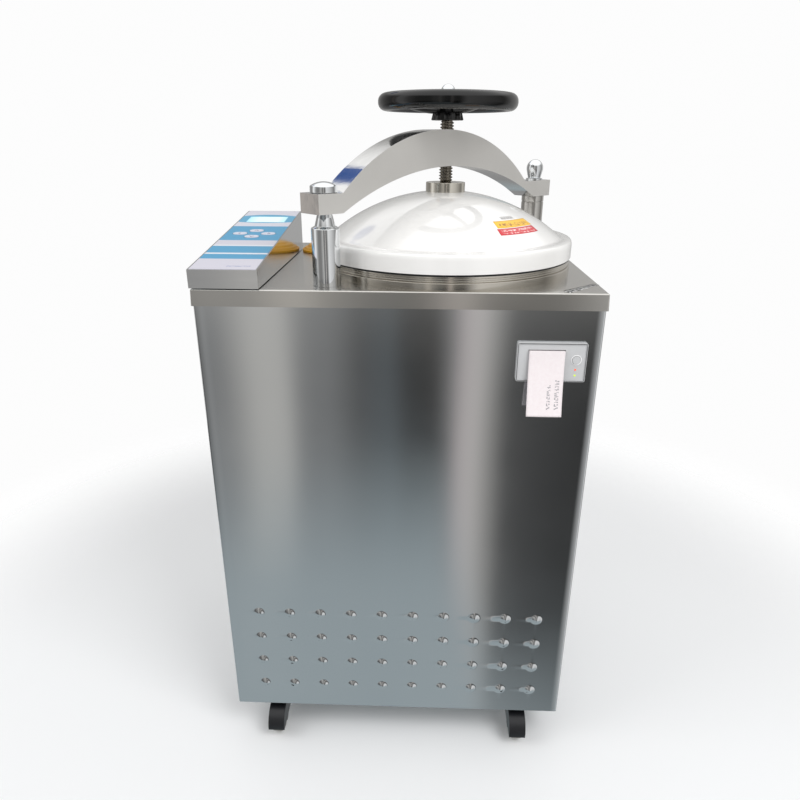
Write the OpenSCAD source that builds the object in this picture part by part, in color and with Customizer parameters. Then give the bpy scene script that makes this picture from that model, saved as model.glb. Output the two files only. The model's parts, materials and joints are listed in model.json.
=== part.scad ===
// Floor-standing vertical steam autoclave on castors, loaded from the top.
// A screw lid hangs from an arched yoke that swings on the left-hand post.
// X to the right, Y to the back, Z up. The origin is on the floor below the middle of the plan.

/* [Cabinet] */
// Width of the worktop
deck_w = 660; // [640:1:700]
// Depth of the worktop
deck_d = 500; // [490:1:560]
// Height from the body's bottom edge to the worktop
body_h = 865; // [820:1:900]
// Depth of the worktop's turned-down edge
lip_h = 27; // [20:1:40]
// Thickness of the worktop sheet
deck_t = 1.5; // [1:0.1:2]
// Thickness of the body sheet
sheet_t = 1.2; // [0.8:0.1:1.5]
// Step from the worktop's edge in to the body
inset = 3; // [2:0.5:5]
// Bend radius at the body's front corners
bend_r = 3; // [2:0.5:6]
// Distance between neighbouring pressed dimples
dimple_pitch = 59.4; // [50:0.1:62]
// Radius of a pressed dimple
dimple_r = 10; // [6:0.5:12]
// Height of a pressed dimple
dimple_h = 3.6; // [2:0.1:5]

/* [Castors] */
// Height from the floor to the body's bottom edge
castor_h = 82; // [78:1:90]
// Radius of a wheel
wheel_r = 30; // [26:1:32]
// Width of a wheel
wheel_w = 24; // [18:1:26]
// Distance from the swivel axis to the axle
trail = 22; // [15:1:25]
// Distance from the middle plane to a swivel axis
castor_x = 249; // [220:1:260]
// Distance from the worktop's front or back edge to a swivel axis
castor_edge = 42; // [40:1:60]

/* [Vessel] */
// Vessel axis, to the right of the middle
ves_x = 77; // [60:1:80]
// Vessel axis, behind the worktop's front edge
ves_back = 238; // [236:1:250]
// Inside radius of the vessel
ves_r = 200; // [180:1:200]
// Wall of the vessel
ves_wall = 3; // [2:0.5:4]
// Straight depth of the vessel below the worktop
ves_depth = 560; // [540:1:570]
// Radius of the vessel's dished bottom
crown_r = 300; // [280:1:340]
// Outer radius of the sealing flange
flange_r = 229; // [222:1:229]
// Height of one basket
basket_h = 245; // [200:1:245]
// Outer radius of a basket
basket_r = 188; // [170:1:190]

/* [Lid] */
// Outer radius of the enamelled lid
lid_r = 232; // [230:1:234]
// Height of the lid's lower edge above the worktop
lid_z = 25; // [24:1:30]
// Height of the dome's top above the worktop
lid_top = 131; // [120:1:135]
// Radius of the dome
dome_r = 309.5; // [300:0.5:330]
// Sheet thickness of the lid's cover
lid_t = 2.5; // [2:0.5:3]

/* [Yoke and screw] */
// Pivot post axis, to the left of the middle
pivot_left = 117; // [110:1:120]
// Pivot post axis, behind the worktop's front edge
pivot_back = 47; // [45:1:55]
// Distance along the yoke from the pivot to the locking post
lock_s = 537; // [530:1:540]
// Thickness of the yoke from face to face
yoke_t = 48; // [40:1:50]
// Height of the underside of the yoke's ends above the worktop
yoke_z = 113; // [110:1:116]
// Height of the yoke's ends
yoke_end_h = 30.5; // [28:0.5:34]
// Radius of both posts
post_r = 22.5; // [20:0.5:25]
// Radius of the lifting screw over its thread
screw_r = 12; // [10:0.5:13]
// Thread pitch of the lifting screw
screw_pitch = 5; // [4:0.5:6]
// Outer radius of the handwheel
hand_r = 124; // [110:1:130]
// Height of the middle of the handwheel's rim above the worktop
hand_z = 280; // [278:1:285]

/* [Control box and printer] */
// Width of the control box
box_w = 110.7; // [100:0.1:112]
// Depth of the control box
box_d = 408; // [380:1:420]
// Height of the control box at the front
box_front = 31; // [28:1:36]
// Height of the control box at the back
box_back = 78; // [70:1:84]
// Travel of a membrane key
key_travel = 0.5; // [0.3:0.1:0.8]
// Width of the printer's bezel
printer_w = 111.6; // [105:0.1:115]
// Height of the printer's bezel
printer_h = 65; // [60:0.5:70]
// Length of printed paper that hangs out
paper_len = 107; // [60:1:140]

/* [Hidden] */
$fn = 96;

// Radial clearance of a running fit, and the gap between moving faces
run = 0.05;
gap = 0.3;

deck_z = castor_h + body_h;
front_y = -deck_d / 2;
half_w = deck_w / 2;
skin_x = half_w - inset;
skin_y = deck_d / 2 - inset;
under_z = deck_z - deck_t;

ves_y = front_y + ves_back;
crown_z = -ves_depth + sqrt(pow(crown_r, 2) - pow(ves_r, 2));
jacket_r = 228;
plate_z = -60;
plate_t = 12;
flange_z = 12;
flange_t = 10;
guard_z = -530;
lower_z = guard_z + 2;
upper_z = lower_z + basket_h + 13;

pivot_x = -pivot_left;
pivot_y = front_y + pivot_back;
yoke_a = atan2(ves_y - pivot_y, ves_x - pivot_x);
screw_s = norm([ves_x - pivot_x, ves_y - pivot_y]);
yoke_top = yoke_z + yoke_end_h;
arch_top = 236.5;
arch_r = 327;
arch_s = 248;
vault_top = 177;
vault_r = 497;
vault_s = 263;
yoke_from = -28;
yoke_to = 560;
pin_r = 9;
stud_r = 8;
nut_r = 20;

seat_low = 129.7;
seat_top = 149;
seat_r = 35.3;
hub_z = 251;
hub_h = 21;

box_x = -half_w;
box_gap = 1.5;
box_wall = 1.2;
box_tilt = atan2(box_back - box_front, box_d);
overlay_t = 0.4;
key_a = 13;
key_b = 9;
key_h = 1.2;

printer_x = 192;
printer_top = deck_z - 79;
printer_proud = 6;
paper_w = 57.5;
paper_x = 210.6;
paper_top = deck_z - 94;
button_x = 287.3;
button_z = deck_z - 107;

tank_x = [-318, -133];
tank_y = [87, 238];
tank_z = [deck_z - 400, deck_z - 25];
filler = [-167, front_y + 386];
filler_r = 20;

switch_y = front_y + 80;
switch_z = deck_z - 68;
rocker_x = -skin_x + 6;

drain_z = 200;
drain_x = ves_x + 33;
drain_out_x = drain_x + 80;
pipe_r = 7.6;
spigot_r = 7;
spigot_from = 250;
spigot_to = 272;
exhaust_z = deck_z - 87;
inlet_z = deck_z - 147;
inlet_x = -250;
gland_z = 180;
bore_r = 4.5;
screw_shank_r = 2;
cap_r = 21.5;

// ---- helpers ----

module at_vessel() { translate([ves_x, ves_y, deck_z]) children(); }

// Along the yoke: X from the pivot to the lock, Y towards the back, Z from the worktop
module at_pivot() { translate([pivot_x, pivot_y, deck_z]) rotate([0, 0, yoke_a]) children(); }

// On the control box's sloping top: X from its left side, Y up the slope, Z off the surface
module on_slope() {
    translate([box_x, front_y, deck_z + box_front]) rotate([box_tilt, 0, 0]) children();
}

module ring(r_in, r_out, z, h) {
    translate([0, 0, z]) difference() {
        cylinder(r = r_out, h = h);
        translate([0, 0, -1]) cylinder(r = r_in, h = h + 2);
    }
}

module along_y(x, z, y0, y1, r) {
    translate([x, y0, z]) rotate([-90, 0, 0]) cylinder(r = r, h = y1 - y0);
}

module along_x(y, z, x0, x1, r) {
    translate([x0, y, z]) rotate([0, 90, 0]) cylinder(r = r, h = x1 - x0);
}

module along_z(x, y, z0, z1, r) {
    translate([x, y, z0]) cylinder(r = r, h = z1 - z0);
}

// Rectangle with round corners, centred
module round_rect(w, d, r) {
    square([w - 2 * r, d], center = true);
    square([w, d - 2 * r], center = true);
    for (sx = [-1, 1], sy = [-1, 1])
        translate([sx * (w / 2 - r), sy * (d / 2 - r)]) circle(r = r);
}

// ---- cabinet ----

module base_tray() {
    w = 2 * (skin_x - sheet_t) - 0.6;
    d = 2 * (skin_y - sheet_t) - 3;
    color("silver") translate([-w / 2, -d / 2, castor_h]) difference() {
        cube([w, d, 30]);
        translate([2, 2, 3]) cube([w - 4, d - 4, 40]);
        for (sx = [0.25, 0.5, 0.75]) translate([w * sx, d * 0.5, -1]) cylinder(r = 22, h = 6);
    }
}

module dimple(r, h) {
    ball = (r * r + h * h) / (2 * h);
    intersection() {
        translate([0, ball - h, 0]) sphere(r = ball);
        translate([-r - 1, -h - 1, -r - 1]) cube([2 * r + 2, h + 1.2, 2 * r + 2]);
    }
}

module dimple_grid() {
    for (col = [-4.5:1:4.5], row = [0:3])
        translate([col * dimple_pitch, -skin_y, castor_h + 56 + row * 0.988 * dimple_pitch]) children();
}

module wrap_plan() {
    difference() {
        translate([0, -sheet_t / 2]) round_rect(2 * skin_x, 2 * skin_y - sheet_t, bend_r);
        translate([0, -sheet_t / 2])
            round_rect(2 * (skin_x - sheet_t), 2 * (skin_y - sheet_t) - sheet_t, bend_r - sheet_t);
        translate([-skin_x + 15, 0]) square([2 * skin_x - 30, skin_y + 1]);
    }
}

module cabinet_wrap() {
    color("lightgray") difference() {
        union() {
            translate([0, 0, castor_h]) linear_extrude(under_z - castor_h) wrap_plan();
            dimple_grid() dimple(dimple_r, dimple_h);
        }
        dimple_grid() translate([0, sheet_t, 0]) dimple(dimple_r + 1, dimple_h + 0.2);
        translate([printer_x + 3, -skin_y - 1, printer_top - printer_h + 3])
            cube([printer_w - 6, 4, printer_h - 6]);
        translate([-skin_x - 1, switch_y - 11.5, switch_z - 15.5]) cube([4, 23, 31]);
        at_panel_screws() translate([0, 0, -5]) cylinder(r = screw_shank_r + 0.1, h = 6);
    }
}

module rear_panel() {
    color("lightgray") difference() {
        translate([-skin_x, skin_y - sheet_t, castor_h]) cube([2 * skin_x, sheet_t, under_z - castor_h]);
        for (row = [0:9], col = [-1, 0, 1])
            translate([col * 150 - 45, skin_y - 3, 480 + row * 18]) cube([90, 6, 5]);
        along_y(ves_x, exhaust_z, skin_y - 3, skin_y + 3, 8);
        along_y(inlet_x, inlet_z, skin_y - 3, skin_y + 3, 8);
        along_y(drain_x, drain_z, skin_y - 3, skin_y + 3, 10);
        along_y(drain_out_x, drain_z, skin_y - 3, skin_y + 3, 8);
        along_y(inlet_x, gland_z, skin_y - 3, skin_y + 3, 10);
        at_panel_screws() translate([0, 0, -3]) cylinder(r = screw_shank_r + 0.1, h = 6);
    }
}

module at_panel_screws() {
    for (sx = [-1, 1], z = [125, 370, 615, 860])
        translate([sx * (skin_x - 7.5), skin_y, z]) rotate([-90, 0, 0]) children();
}

module panel_screws() {
    color("silver") at_panel_screws() {
        cylinder(r1 = 4, r2 = 2.6, h = 2);
        translate([0, 0, -6]) cylinder(r = screw_shank_r, h = 6);
    }
}

module deck_plate() {
    color("gainsboro") difference() {
        translate([-half_w, front_y, deck_z - lip_h]) cube([deck_w, deck_d, lip_h]);
        translate([-half_w + deck_t, front_y + deck_t, deck_z - lip_h - 1])
            cube([deck_w - 2 * deck_t, deck_d - 2 * deck_t, lip_h + 1 - deck_t]);
        along_z(ves_x, ves_y, deck_z - 5, deck_z + 5, ves_r + ves_wall + 3);
        at_pivot() cylinder(r = post_r + 0.5, h = 10, center = true);
        at_pivot() translate([lock_s, 0, 0]) cylinder(r = post_r + 0.5, h = 10, center = true);
        along_z(filler[0], filler[1], deck_z - 5, deck_z + 5, filler_r + 0.6);
        along_z(box_x + box_w / 2, front_y + 330, deck_z - 5, deck_z + 5, 20);
    }
}

// ---- vessel ----

module crown_cap(r, reach) {
    intersection() {
        translate([0, 0, crown_z]) sphere(r = r);
        translate([0, 0, -ves_depth - 110]) cylinder(r = reach, h = 110);
    }
}

module chamber_shell() {
    color("silver") at_vessel() difference() {
        union() {
            translate([0, 0, -ves_depth]) cylinder(r = ves_r + ves_wall, h = ves_depth + flange_z);
            crown_cap(crown_r + ves_wall, ves_r + ves_wall);
        }
        translate([0, 0, -ves_depth]) cylinder(r = ves_r, h = ves_depth + flange_z + 1);
        crown_cap(crown_r, ves_r);
        translate([0, 0, -700]) cylinder(r = 8, h = 100);
        for (r = [100, 130]) translate([-r, 0, -700]) cylinder(r = 5.2, h = 110);
        translate([0, 0, exhaust_z - deck_z]) rotate([-90, 0, 0]) cylinder(r = spigot_r, h = 230);
    }
}

// Three legs from the tray's floor to the dished bottom
module chamber_legs() {
    color("dimgray") at_vessel() difference() {
        for (a = [30, 150, 270]) rotate([0, 0, a])
            translate([165, 0, -body_h + 3]) cylinder(r = 14, h = 290);
        crown_cap(crown_r + ves_wall + 0.1, ves_r + ves_wall);
    }
}

module chamber_flange() {
    color("silver") at_vessel() difference() {
        ring(ves_r, flange_r, flange_z, flange_t);
        for (z = [15, 18.5]) rotate_extrude() translate([flange_r, z]) circle(r = 0.5, $fn = 24);
    }
}

module collar_trim() {
    color("gainsboro") at_vessel() ring(ves_r + ves_wall + 0.4, lid_r - 0.5, 0, flange_z);
}

// Thick plate welded round the vessel; both posts stand on it and take the lid's load
module yoke_plate() {
    color("dimgray") difference() {
        translate([0, 0, deck_z + plate_z]) linear_extrude(plate_t) union() {
            translate([ves_x, ves_y]) circle(r = 226);
            translate([pivot_x, pivot_y]) rotate([0, 0, yoke_a]) {
                translate([0, -30]) square([lock_s, 60]);
                circle(r = 30);
                translate([lock_s, 0]) circle(r = 30);
            }
        }
        at_vessel() translate([0, 0, plate_z - 1]) cylinder(r = ves_r + ves_wall, h = plate_t + 2);
        for (s = [0, lock_s]) at_pivot() translate([s, 0, plate_z - 1]) cylinder(r = 10, h = plate_t + 2);
    }
}

module insulation_jacket() {
    color("wheat") at_vessel() difference() {
        ring(ves_r + ves_wall + gap, jacket_r, -ves_depth, ves_depth + plate_z - 2);
        translate([0, 150, exhaust_z - deck_z]) rotate([-90, 0, 0]) cylinder(r = 9, h = 90);
    }
}

module heating_element() {
    color("gray") at_vessel() {
        for (r = [100, 130]) {
            translate([0, 0, -580]) rotate_extrude() translate([r, 0]) circle(r = 5, $fn = 32);
            translate([-r, 0, -652]) cylinder(r = 5, h = 72);
            translate([-r, 0, -642]) cylinder(r = 9, h = 16);
        }
        translate([-130, -4, -584]) cube([30, 8, 8]);
    }
}

module element_guard() {
    color("silver") at_vessel() {
        difference() {
            translate([0, 0, guard_z]) cylinder(r = 195, h = 2);
            for (n = [0:3], k = [0:max(0, 8 * n - 1)])
                rotate([0, 0, n == 0 ? 0 : k * 360 / (8 * n)])
                    translate([n * 46, 0, guard_z - 1]) cylinder(r = 8, h = 4, $fn = 32);
        }
        for (a = [30, 150, 270]) rotate([0, 0, a])
            translate([180, 0, -571.5]) cylinder(r = 5, h = 571.5 + guard_z + 1);
    }
}

module basket(z) {
    color("silver") at_vessel() translate([0, 0, z]) {
        difference() {
            cylinder(r = basket_r, h = basket_h);
            translate([0, 0, 1.5]) cylinder(r = basket_r - 1.5, h = basket_h);
        }
        translate([0, 0, basket_h - 3]) rotate_extrude() translate([basket_r, 0]) circle(r = 3, $fn = 32);
        for (a = [0, 180]) rotate([0, 0, a]) {
            for (y = [-40, 40]) translate([basket_r - 3, y, basket_h - 20]) cylinder(r = 3, h = 30);
            translate([basket_r - 3, -40, basket_h + 10]) rotate([-90, 0, 0]) cylinder(r = 3, h = 80);
            for (y = [-40, 40]) translate([basket_r - 3, y, basket_h + 10]) sphere(r = 3);
        }
    }
}

module lower_basket() { basket(lower_z); }
module upper_basket() { basket(upper_z); }

// A pipe that ends behind the panel in a hose spigot with a shoulder
module outlet(x, z, from_y) {
    along_y(x, z, from_y, spigot_from, pipe_r);
    along_y(x, z, spigot_from - 1, spigot_to, spigot_r);
}

// Drain line, exhaust line, tank inlet and tank feed, each a separate run
module pipework() {
    color("darkgray") {
        difference() {
            union() {
                outlet(ves_x, exhaust_z, ves_y + ves_r + ves_wall + 0.5);
                along_y(ves_x, exhaust_z, ves_y + ves_r + 0.5, ves_y + ves_r + 5, spigot_r);
            }
            along_y(ves_x, exhaust_z, ves_y + ves_r, spigot_to + 1, bore_r);
        }
        difference() {
            outlet(inlet_x, inlet_z, tank_y[1]);
            along_y(inlet_x, inlet_z, tank_y[1] - 1, spigot_to + 1, bore_r);
        }
        difference() {
            union() {
                along_z(ves_x, ves_y, drain_z, deck_z - 638, 8);
                along_y(ves_x, drain_z, ves_y, 205, 8);
                along_x(205, drain_z, ves_x, drain_x - 20, 8);
                for (p = [[ves_x, ves_y], [ves_x, 205]]) translate([p[0], p[1], drain_z]) sphere(r = 8);
                along_x(ves_y, 250, -225, ves_x, 6);
                along_y(-225, 250, ves_y, 160, 6);
                along_z(-225, 160, 250, tank_z[0], 6);
                translate([-225, ves_y, 250]) sphere(r = 6);
                translate([-225, 160, 250]) sphere(r = 6);
            }
            along_z(ves_x, ves_y, drain_z, deck_z - 630, 6);
        }
        difference() {
            union() {
                along_x(205, drain_z, drain_x + 20, drain_out_x, pipe_r);
                translate([drain_out_x, 205, drain_z]) sphere(r = pipe_r);
                outlet(drain_out_x, drain_z, 205);
            }
            along_y(drain_out_x, drain_z, 205, spigot_to + 1, bore_r);
        }
    }
}

module drain_valve() {
    color("goldenrod") difference() {
        union() {
            translate([drain_x - 20, 205, drain_z]) rotate([0, 90, 0]) cylinder(r = 14, h = 40, $fn = 6);
            along_y(drain_x, drain_z, 205, 243, 9.5);
        }
        along_y(drain_x, drain_z, 214, 244, 4 + run);
    }
}

module drain_handle() {
    color("firebrick") {
        along_y(drain_x, drain_z, 214 + gap, 262, 4);
        difference() {
            translate([drain_x - 7, 254, drain_z - 9]) cube([14, 4, 72]);
            along_y(drain_x, drain_z + 55, 250, 262, 3);
        }
        along_y(drain_x, drain_z, 250, 260, 8);
    }
}

module safety_valve() {
    color("goldenrod") translate([ves_x, 231, exhaust_z + pipe_r]) {
        cylinder(r = 10, h = 10, $fn = 6);
        cylinder(r = 7, h = 30);
        translate([0, 0, 18]) cylinder(r = 11, h = 34);
        translate([0, 0, 50]) cylinder(r = 6, h = 6);
        translate([0, 0, 60]) rotate([90, 0, 0]) rotate_extrude() translate([7, 0]) circle(r = 1.2, $fn = 24);
    }
}

module cable_gland() {
    color("dimgray") difference() {
        union() {
            along_y(inlet_x, gland_z, 236, 258, 9.9);
            translate([inlet_x, 238, gland_z]) rotate([-90, 0, 0]) cylinder(r = 13, h = 7, $fn = 6);
            translate([inlet_x, skin_y, gland_z]) rotate([-90, 0, 0]) cylinder(r = 13, h = 6, $fn = 6);
            translate([inlet_x, 255, gland_z]) rotate([-90, 0, 0]) cylinder(r1 = 12, r2 = 8.5, h = 13);
        }
        along_y(inlet_x, gland_z, 235, 269, 6);
    }
}

// ---- posts and yoke ----

module post_foot() {
    translate([0, 0, plate_z + plate_t]) cylinder(r = post_r, h = -plate_z - plate_t);
    translate([0, 0, plate_z - 16]) cylinder(r = 10, h = 20 + plate_t);
    difference() {
        translate([0, 0, plate_z - 12]) cylinder(r = 17, h = 12, $fn = 6);
        translate([0, 0, plate_z - 13]) cylinder(r = 10 + gap, h = 14);
    }
}

module pivot_post() {
    color("whitesmoke") at_pivot() {
        post_foot();
        cylinder(r = post_r, h = 90);
        translate([0, 0, 90]) cylinder(r1 = post_r, r2 = 17, h = 3);
        translate([0, 0, 93]) cylinder(r1 = 16.5, r2 = 11.5, h = yoke_z - 93.1);
        cylinder(r = pin_r, h = yoke_top + 9);
    }
}

module lock_post() {
    color("whitesmoke") at_pivot() translate([lock_s, 0, 0]) {
        post_foot();
        difference() {
            cylinder(r = post_r, h = yoke_z - gap);
            ring(post_r - 1.2, post_r + 1, 100, 1.6);
        }
        cylinder(r = stud_r, h = 176);
    }
}

module pivot_cap() {
    color("whitesmoke") at_pivot() difference() {
        union() {
            translate([0, 0, yoke_top + gap]) cylinder(r = cap_r, h = 9.7);
            intersection() {
                translate([0, 0, 120.5]) sphere(r = 39.5);
                translate([0, 0, yoke_top + 9]) cylinder(r = cap_r, h = 20);
            }
        }
        translate([0, 0, yoke_top]) cylinder(r = pin_r, h = 9);
    }
}

// Side view of the yoke: an arch between two square ends
module yoke_outline() {
    difference() {
        union() {
            intersection() {
                translate([arch_s, arch_top - arch_r]) circle(r = arch_r, $fn = 180);
                translate([0, yoke_z]) square([500, 200]);
            }
            translate([yoke_from, yoke_z]) square([90, yoke_end_h]);
            translate([yoke_to - 120, yoke_z]) square([120, yoke_end_h]);
        }
        translate([vault_s, vault_top - vault_r]) circle(r = vault_r, $fn = 180);
    }
}

module yoke_beam() {
    color("lightgray") at_pivot() difference() {
        rotate([90, 0, 0]) linear_extrude(yoke_t, center = true) yoke_outline();
        translate([0, 0, yoke_z - 1]) cylinder(r = pin_r + run, h = yoke_end_h + 2);
        translate([0, 0, yoke_top]) cylinder(r = cap_r + 0.7, h = 20);
        translate([screw_s, 0, vault_top - 20]) cylinder(r = nut_r, h = 100);
        translate([lock_s, 0, yoke_z - 1]) cylinder(r = stud_r + 1, h = yoke_end_h + 2);
        translate([lock_s - stud_r - 1, 0, yoke_z - 1])
            cube([2 * stud_r + 2, yoke_t, yoke_end_h + 2]);
    }
}

module screw_nut() {
    color("peru") at_pivot() translate([screw_s, 0, 0])
        ring(screw_r + run, nut_r, vault_top, arch_top - vault_top - 1.5);
}

module lock_washer() {
    color("black") at_pivot() translate([lock_s, 0, 0]) ring(stud_r + run, 16.5, yoke_top + gap, 2.5);
}

module lock_knob() {
    base = yoke_top + gap + 2.6;
    color("whitesmoke") at_pivot() translate([lock_s, 0, 0]) difference() {
        union() {
            translate([0, 0, base]) cylinder(r1 = 12.5, r2 = 16.5, h = 17);
            translate([0, 0, base + 17]) cylinder(r = 16.5, h = 4);
            translate([0, 0, base + 20]) intersection() {
                sphere(r = 16.5);
                cylinder(r = 16.5, h = 17);
            }
        }
        translate([0, 0, base - 1]) cylinder(r = stud_r + run, h = 32);
    }
}

// ---- lid ----

function dome_z(r) = lid_top - dome_r + sqrt(pow(dome_r, 2) - pow(r, 2));

module lid_shell() {
    brim = lid_z + 21;
    color("white") at_vessel() rotate_extrude($fn = 180) {
        intersection() {
            difference() {
                translate([0, lid_top - dome_r]) circle(r = dome_r);
                translate([0, lid_top - dome_r]) circle(r = dome_r - lid_t);
            }
            translate([30, 40]) square([173, 120]);
        }
        translate([201, dome_z(203) - 1.4]) square([21, lid_t]);
        translate([lid_r - lid_t, lid_z]) square([lid_t, 21]);
        translate([lid_r - 10, brim]) intersection() {
            difference() {
                circle(r = 10);
                circle(r = 10 - lid_t);
            }
            square([11, 11]);
        }
    }
}

module lid_dish() {
    dish_r = 280;
    dish_top = 119;
    color("silver") at_vessel() rotate_extrude($fn = 180) {
        intersection() {
            difference() {
                translate([0, dish_top - dish_r]) circle(r = dish_r);
                translate([0, dish_top - dish_r]) circle(r = dish_r - 4);
            }
            translate([0, lid_z + 4]) square([200, 120]);
        }
        translate([192, lid_z]) square([36, 8]);
        translate([0, 112]) square([29, 8]);
    }
}

module lid_gasket() {
    color("black") at_vessel() ring(204, 228, flange_z + flange_t + 0.2, lid_z - flange_z - flange_t - 0.2);
}

module screw_seat() {
    color("gainsboro") at_vessel() difference() {
        union() {
            translate([0, 0, seat_low]) cylinder(r = seat_r, h = seat_top - seat_low);
            translate([0, 0, 120]) cylinder(r = 29.7, h = 10);
        }
        translate([0, 0, 119]) cylinder(r = 15 + run, h = 24);
        translate([0, 0, 119]) cylinder(r = 9 + run, h = 40);
    }
}

// ---- screw and handwheel ----

// Ring-grooved stand-in for the trapezoidal thread, one groove a pitch
module lift_screw() {
    turns = floor((hub_z - seat_top - 3) / screw_pitch);
    root_r = screw_r - 2.4;
    from_z = seat_top + gap + 1;
    color("gray") at_vessel() {
        rotate_extrude() polygon(concat(
            [[0, seat_top + gap], [root_r, seat_top + gap]],
            [for (k = [0:turns - 1], p = [[0.2, 0], [1.3, 1], [3.1, 1], [4.2, 0]])
                [root_r + p[1] * 2.4, from_z + k * screw_pitch + p[0]]],
            [[root_r, hub_z], [stud_r, hub_z], [stud_r, hub_z + 42], [0, hub_z + 42]]));
        translate([0, 0, 142]) cylinder(r = 9, h = 8);
        translate([0, 0, 120.3]) cylinder(r = 15, h = 22.4);
    }
}

module handwheel() {
    rim_c = hand_r - 13;
    color("black") at_vessel() difference() {
        union() {
            rotate_extrude() translate([rim_c, hand_z]) {
                translate([0, 4]) circle(r = 13);
                translate([0, -4]) circle(r = 13);
                translate([-13, -4]) square([26, 8]);
            }
            translate([0, 0, hub_z]) cylinder(r = 24, h = hub_h);
            for (a = [0:45:315]) rotate([0, 0, a]) translate([22, -5, hub_z]) cube([6, 10, 14]);
            for (a = [75, 195, 315]) rotate([0, 0, a]) hull() {
                translate([20, 0, hub_z + 11]) cylinder(r = 10, h = 9, $fn = 24);
                translate([rim_c - 5, 0, hand_z - 8]) cylinder(r = 8, h = 12, $fn = 24);
            }
        }
        translate([0, 0, hub_z - 1]) cylinder(r = stud_r, h = hub_h + 12);
    }
}

module wheel_nut() {
    color("whitesmoke") at_vessel() difference() {
        union() {
            translate([0, 0, hub_z + hub_h]) cylinder(r = 12.5, h = 25);
            translate([0, 0, hub_z + hub_h + 25]) intersection() {
                translate([0, 0, -0.6]) sphere(r = 12.6);
                cylinder(r = 12.5, h = 13);
            }
        }
        translate([0, 0, hub_z + hub_h - 1]) cylinder(r = stud_r, h = 22);
    }
}

// ---- control box ----

module box_side(t) {
    polygon([
        [t, box_gap], [box_d - t, box_gap], [box_d - t, box_back - t * (1 + (box_back - box_front) / box_d)],
        [t, box_front - t * (1 - (box_back - box_front) / box_d)]
    ]);
}

module extrude_x(x, w) {
    translate([x, front_y, deck_z]) rotate([90, 0, 90]) linear_extrude(w) children();
}

module control_housing() {
    color("lightgray") {
        difference() {
            extrude_x(box_x, box_w) box_side(0);
            extrude_x(box_x + box_wall, box_w - 2 * box_wall)
                translate([0, -box_wall]) box_side(box_wall);
            on_slope() translate([16, 309, -3]) cube([80, 50, 6]);
            for (p = key_points()) on_slope() translate([p[0], p[1], -3]) oval(key_a + 0.8, key_b + 0.8, 6);
        }
        for (x = [14, box_w - 14], y = [14, box_d - 14])
            along_z(box_x + x, front_y + y, deck_z, deck_z + 4, 6);
        for (x = [14, box_w - 14], y = [14, box_d - 14]) translate([box_x + x - 13, front_y + y - 13, deck_z + 1.5])
            cube([26, 26, 1.5]);
    }
}

function key_points() = [[55.3, 243], [55.3, 201], [29, 222], [81.6, 222]];

// A flat oval key: a bar with two round ends
module oval(a, b, h) {
    translate([-(a - b), -b, 0]) cube([2 * (a - b), 2 * b, h]);
    for (sx = [-1, 1]) translate([sx * (a - b), 0, 0]) cylinder(r = b, h = h);
}

module control_overlay() {
    color("lightsteelblue") on_slope() difference() {
        translate([2.5, 3, 0]) cube([box_w - 5, box_d / cos(box_tilt) - 6, overlay_t]);
        translate([18, 311, -1]) cube([76, 46, 3]);
        for (p = key_points()) translate([p[0], p[1], -1]) oval(key_a + 0.8, key_b + 0.8, 3);
    }
}

module display_window() {
    color("paleturquoise") on_slope() translate([18, 311, -2.4]) cube([76, 46, 2.6]);
}

module control_board() {
    color("darkgreen") on_slope() {
        translate([14, 170, -14]) cube([82, 200, 1.6]);
        translate([20, 312, -12.4]) cube([72, 44, 9.6]);
        for (x = [24, 50, 76]) translate([x, 185, -12.4]) cube([12, 10, 5]);
    }
}

// Flat key cap, proud of the overlay by its travel
module key(n) {
    color("lavender") on_slope() translate([key_points()[n][0], key_points()[n][1], overlay_t + key_travel - key_h])
        oval(key_a, key_b, key_h);
}

module key_up() { key(0); }
module key_down() { key(1); }
module key_left() { key(2); }
module key_right() { key(3); }

// ---- printer ----

module printer_bezel() {
    color("silver") difference() {
        translate([printer_x + printer_w / 2, -skin_y, printer_top - printer_h / 2]) rotate([90, 0, 0])
            linear_extrude(printer_proud) round_rect(printer_w, printer_h, 3);
        translate([printer_x + printer_w / 2, -skin_y - printer_proud + 1.2, printer_top - printer_h / 2])
            rotate([90, 0, 0]) linear_extrude(4) round_rect(printer_w - 4, printer_h - 4, 2);
        along_y(button_x, button_z, -skin_y - 8, -skin_y + 2, 7.5);
        translate([paper_x - 1, -skin_y - 8, paper_top + 1]) cube([paper_w + 2, 10, 2.4]);
        for (z = [123.6, 133.3]) along_y(287, deck_z - z, -skin_y - 8, -skin_y + 2, 1.6);
    }
}

module printer_body() {
    color("dimgray") difference() {
        translate([printer_x + 5, -skin_y, printer_top - printer_h + 5])
            cube([printer_w - 10, 40, printer_h - 10]);
        translate([paper_x - 1, -skin_y + 4, printer_top - 56]) cube([paper_w + 2, 34, 46]);
        translate([paper_x - 1, -skin_y - 1, paper_top + 1]) cube([paper_w + 2, 10, 2.4]);
        along_y(button_x, button_z, -skin_y - 1, -skin_y + 6, 7.5);
        along_x(-skin_y + 22, printer_top - 34, paper_x - 5, paper_x + paper_w + 5, 3 + run);
    }
}

module printer_button() {
    color("gainsboro") {
        along_y(button_x, button_z, -skin_y - printer_proud - 0.6, -skin_y + 2, 6.5);
        along_y(button_x, button_z, -skin_y + 1, -skin_y + 3, 7.2);
    }
}

module paper_roll() {
    color("white") {
        along_x(-skin_y + 22, printer_top - 34, paper_x, paper_x + paper_w, 15);
        along_x(-skin_y + 22, printer_top - 34, paper_x - 4.5, paper_x + paper_w + 4.5, 3);
    }
}

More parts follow.
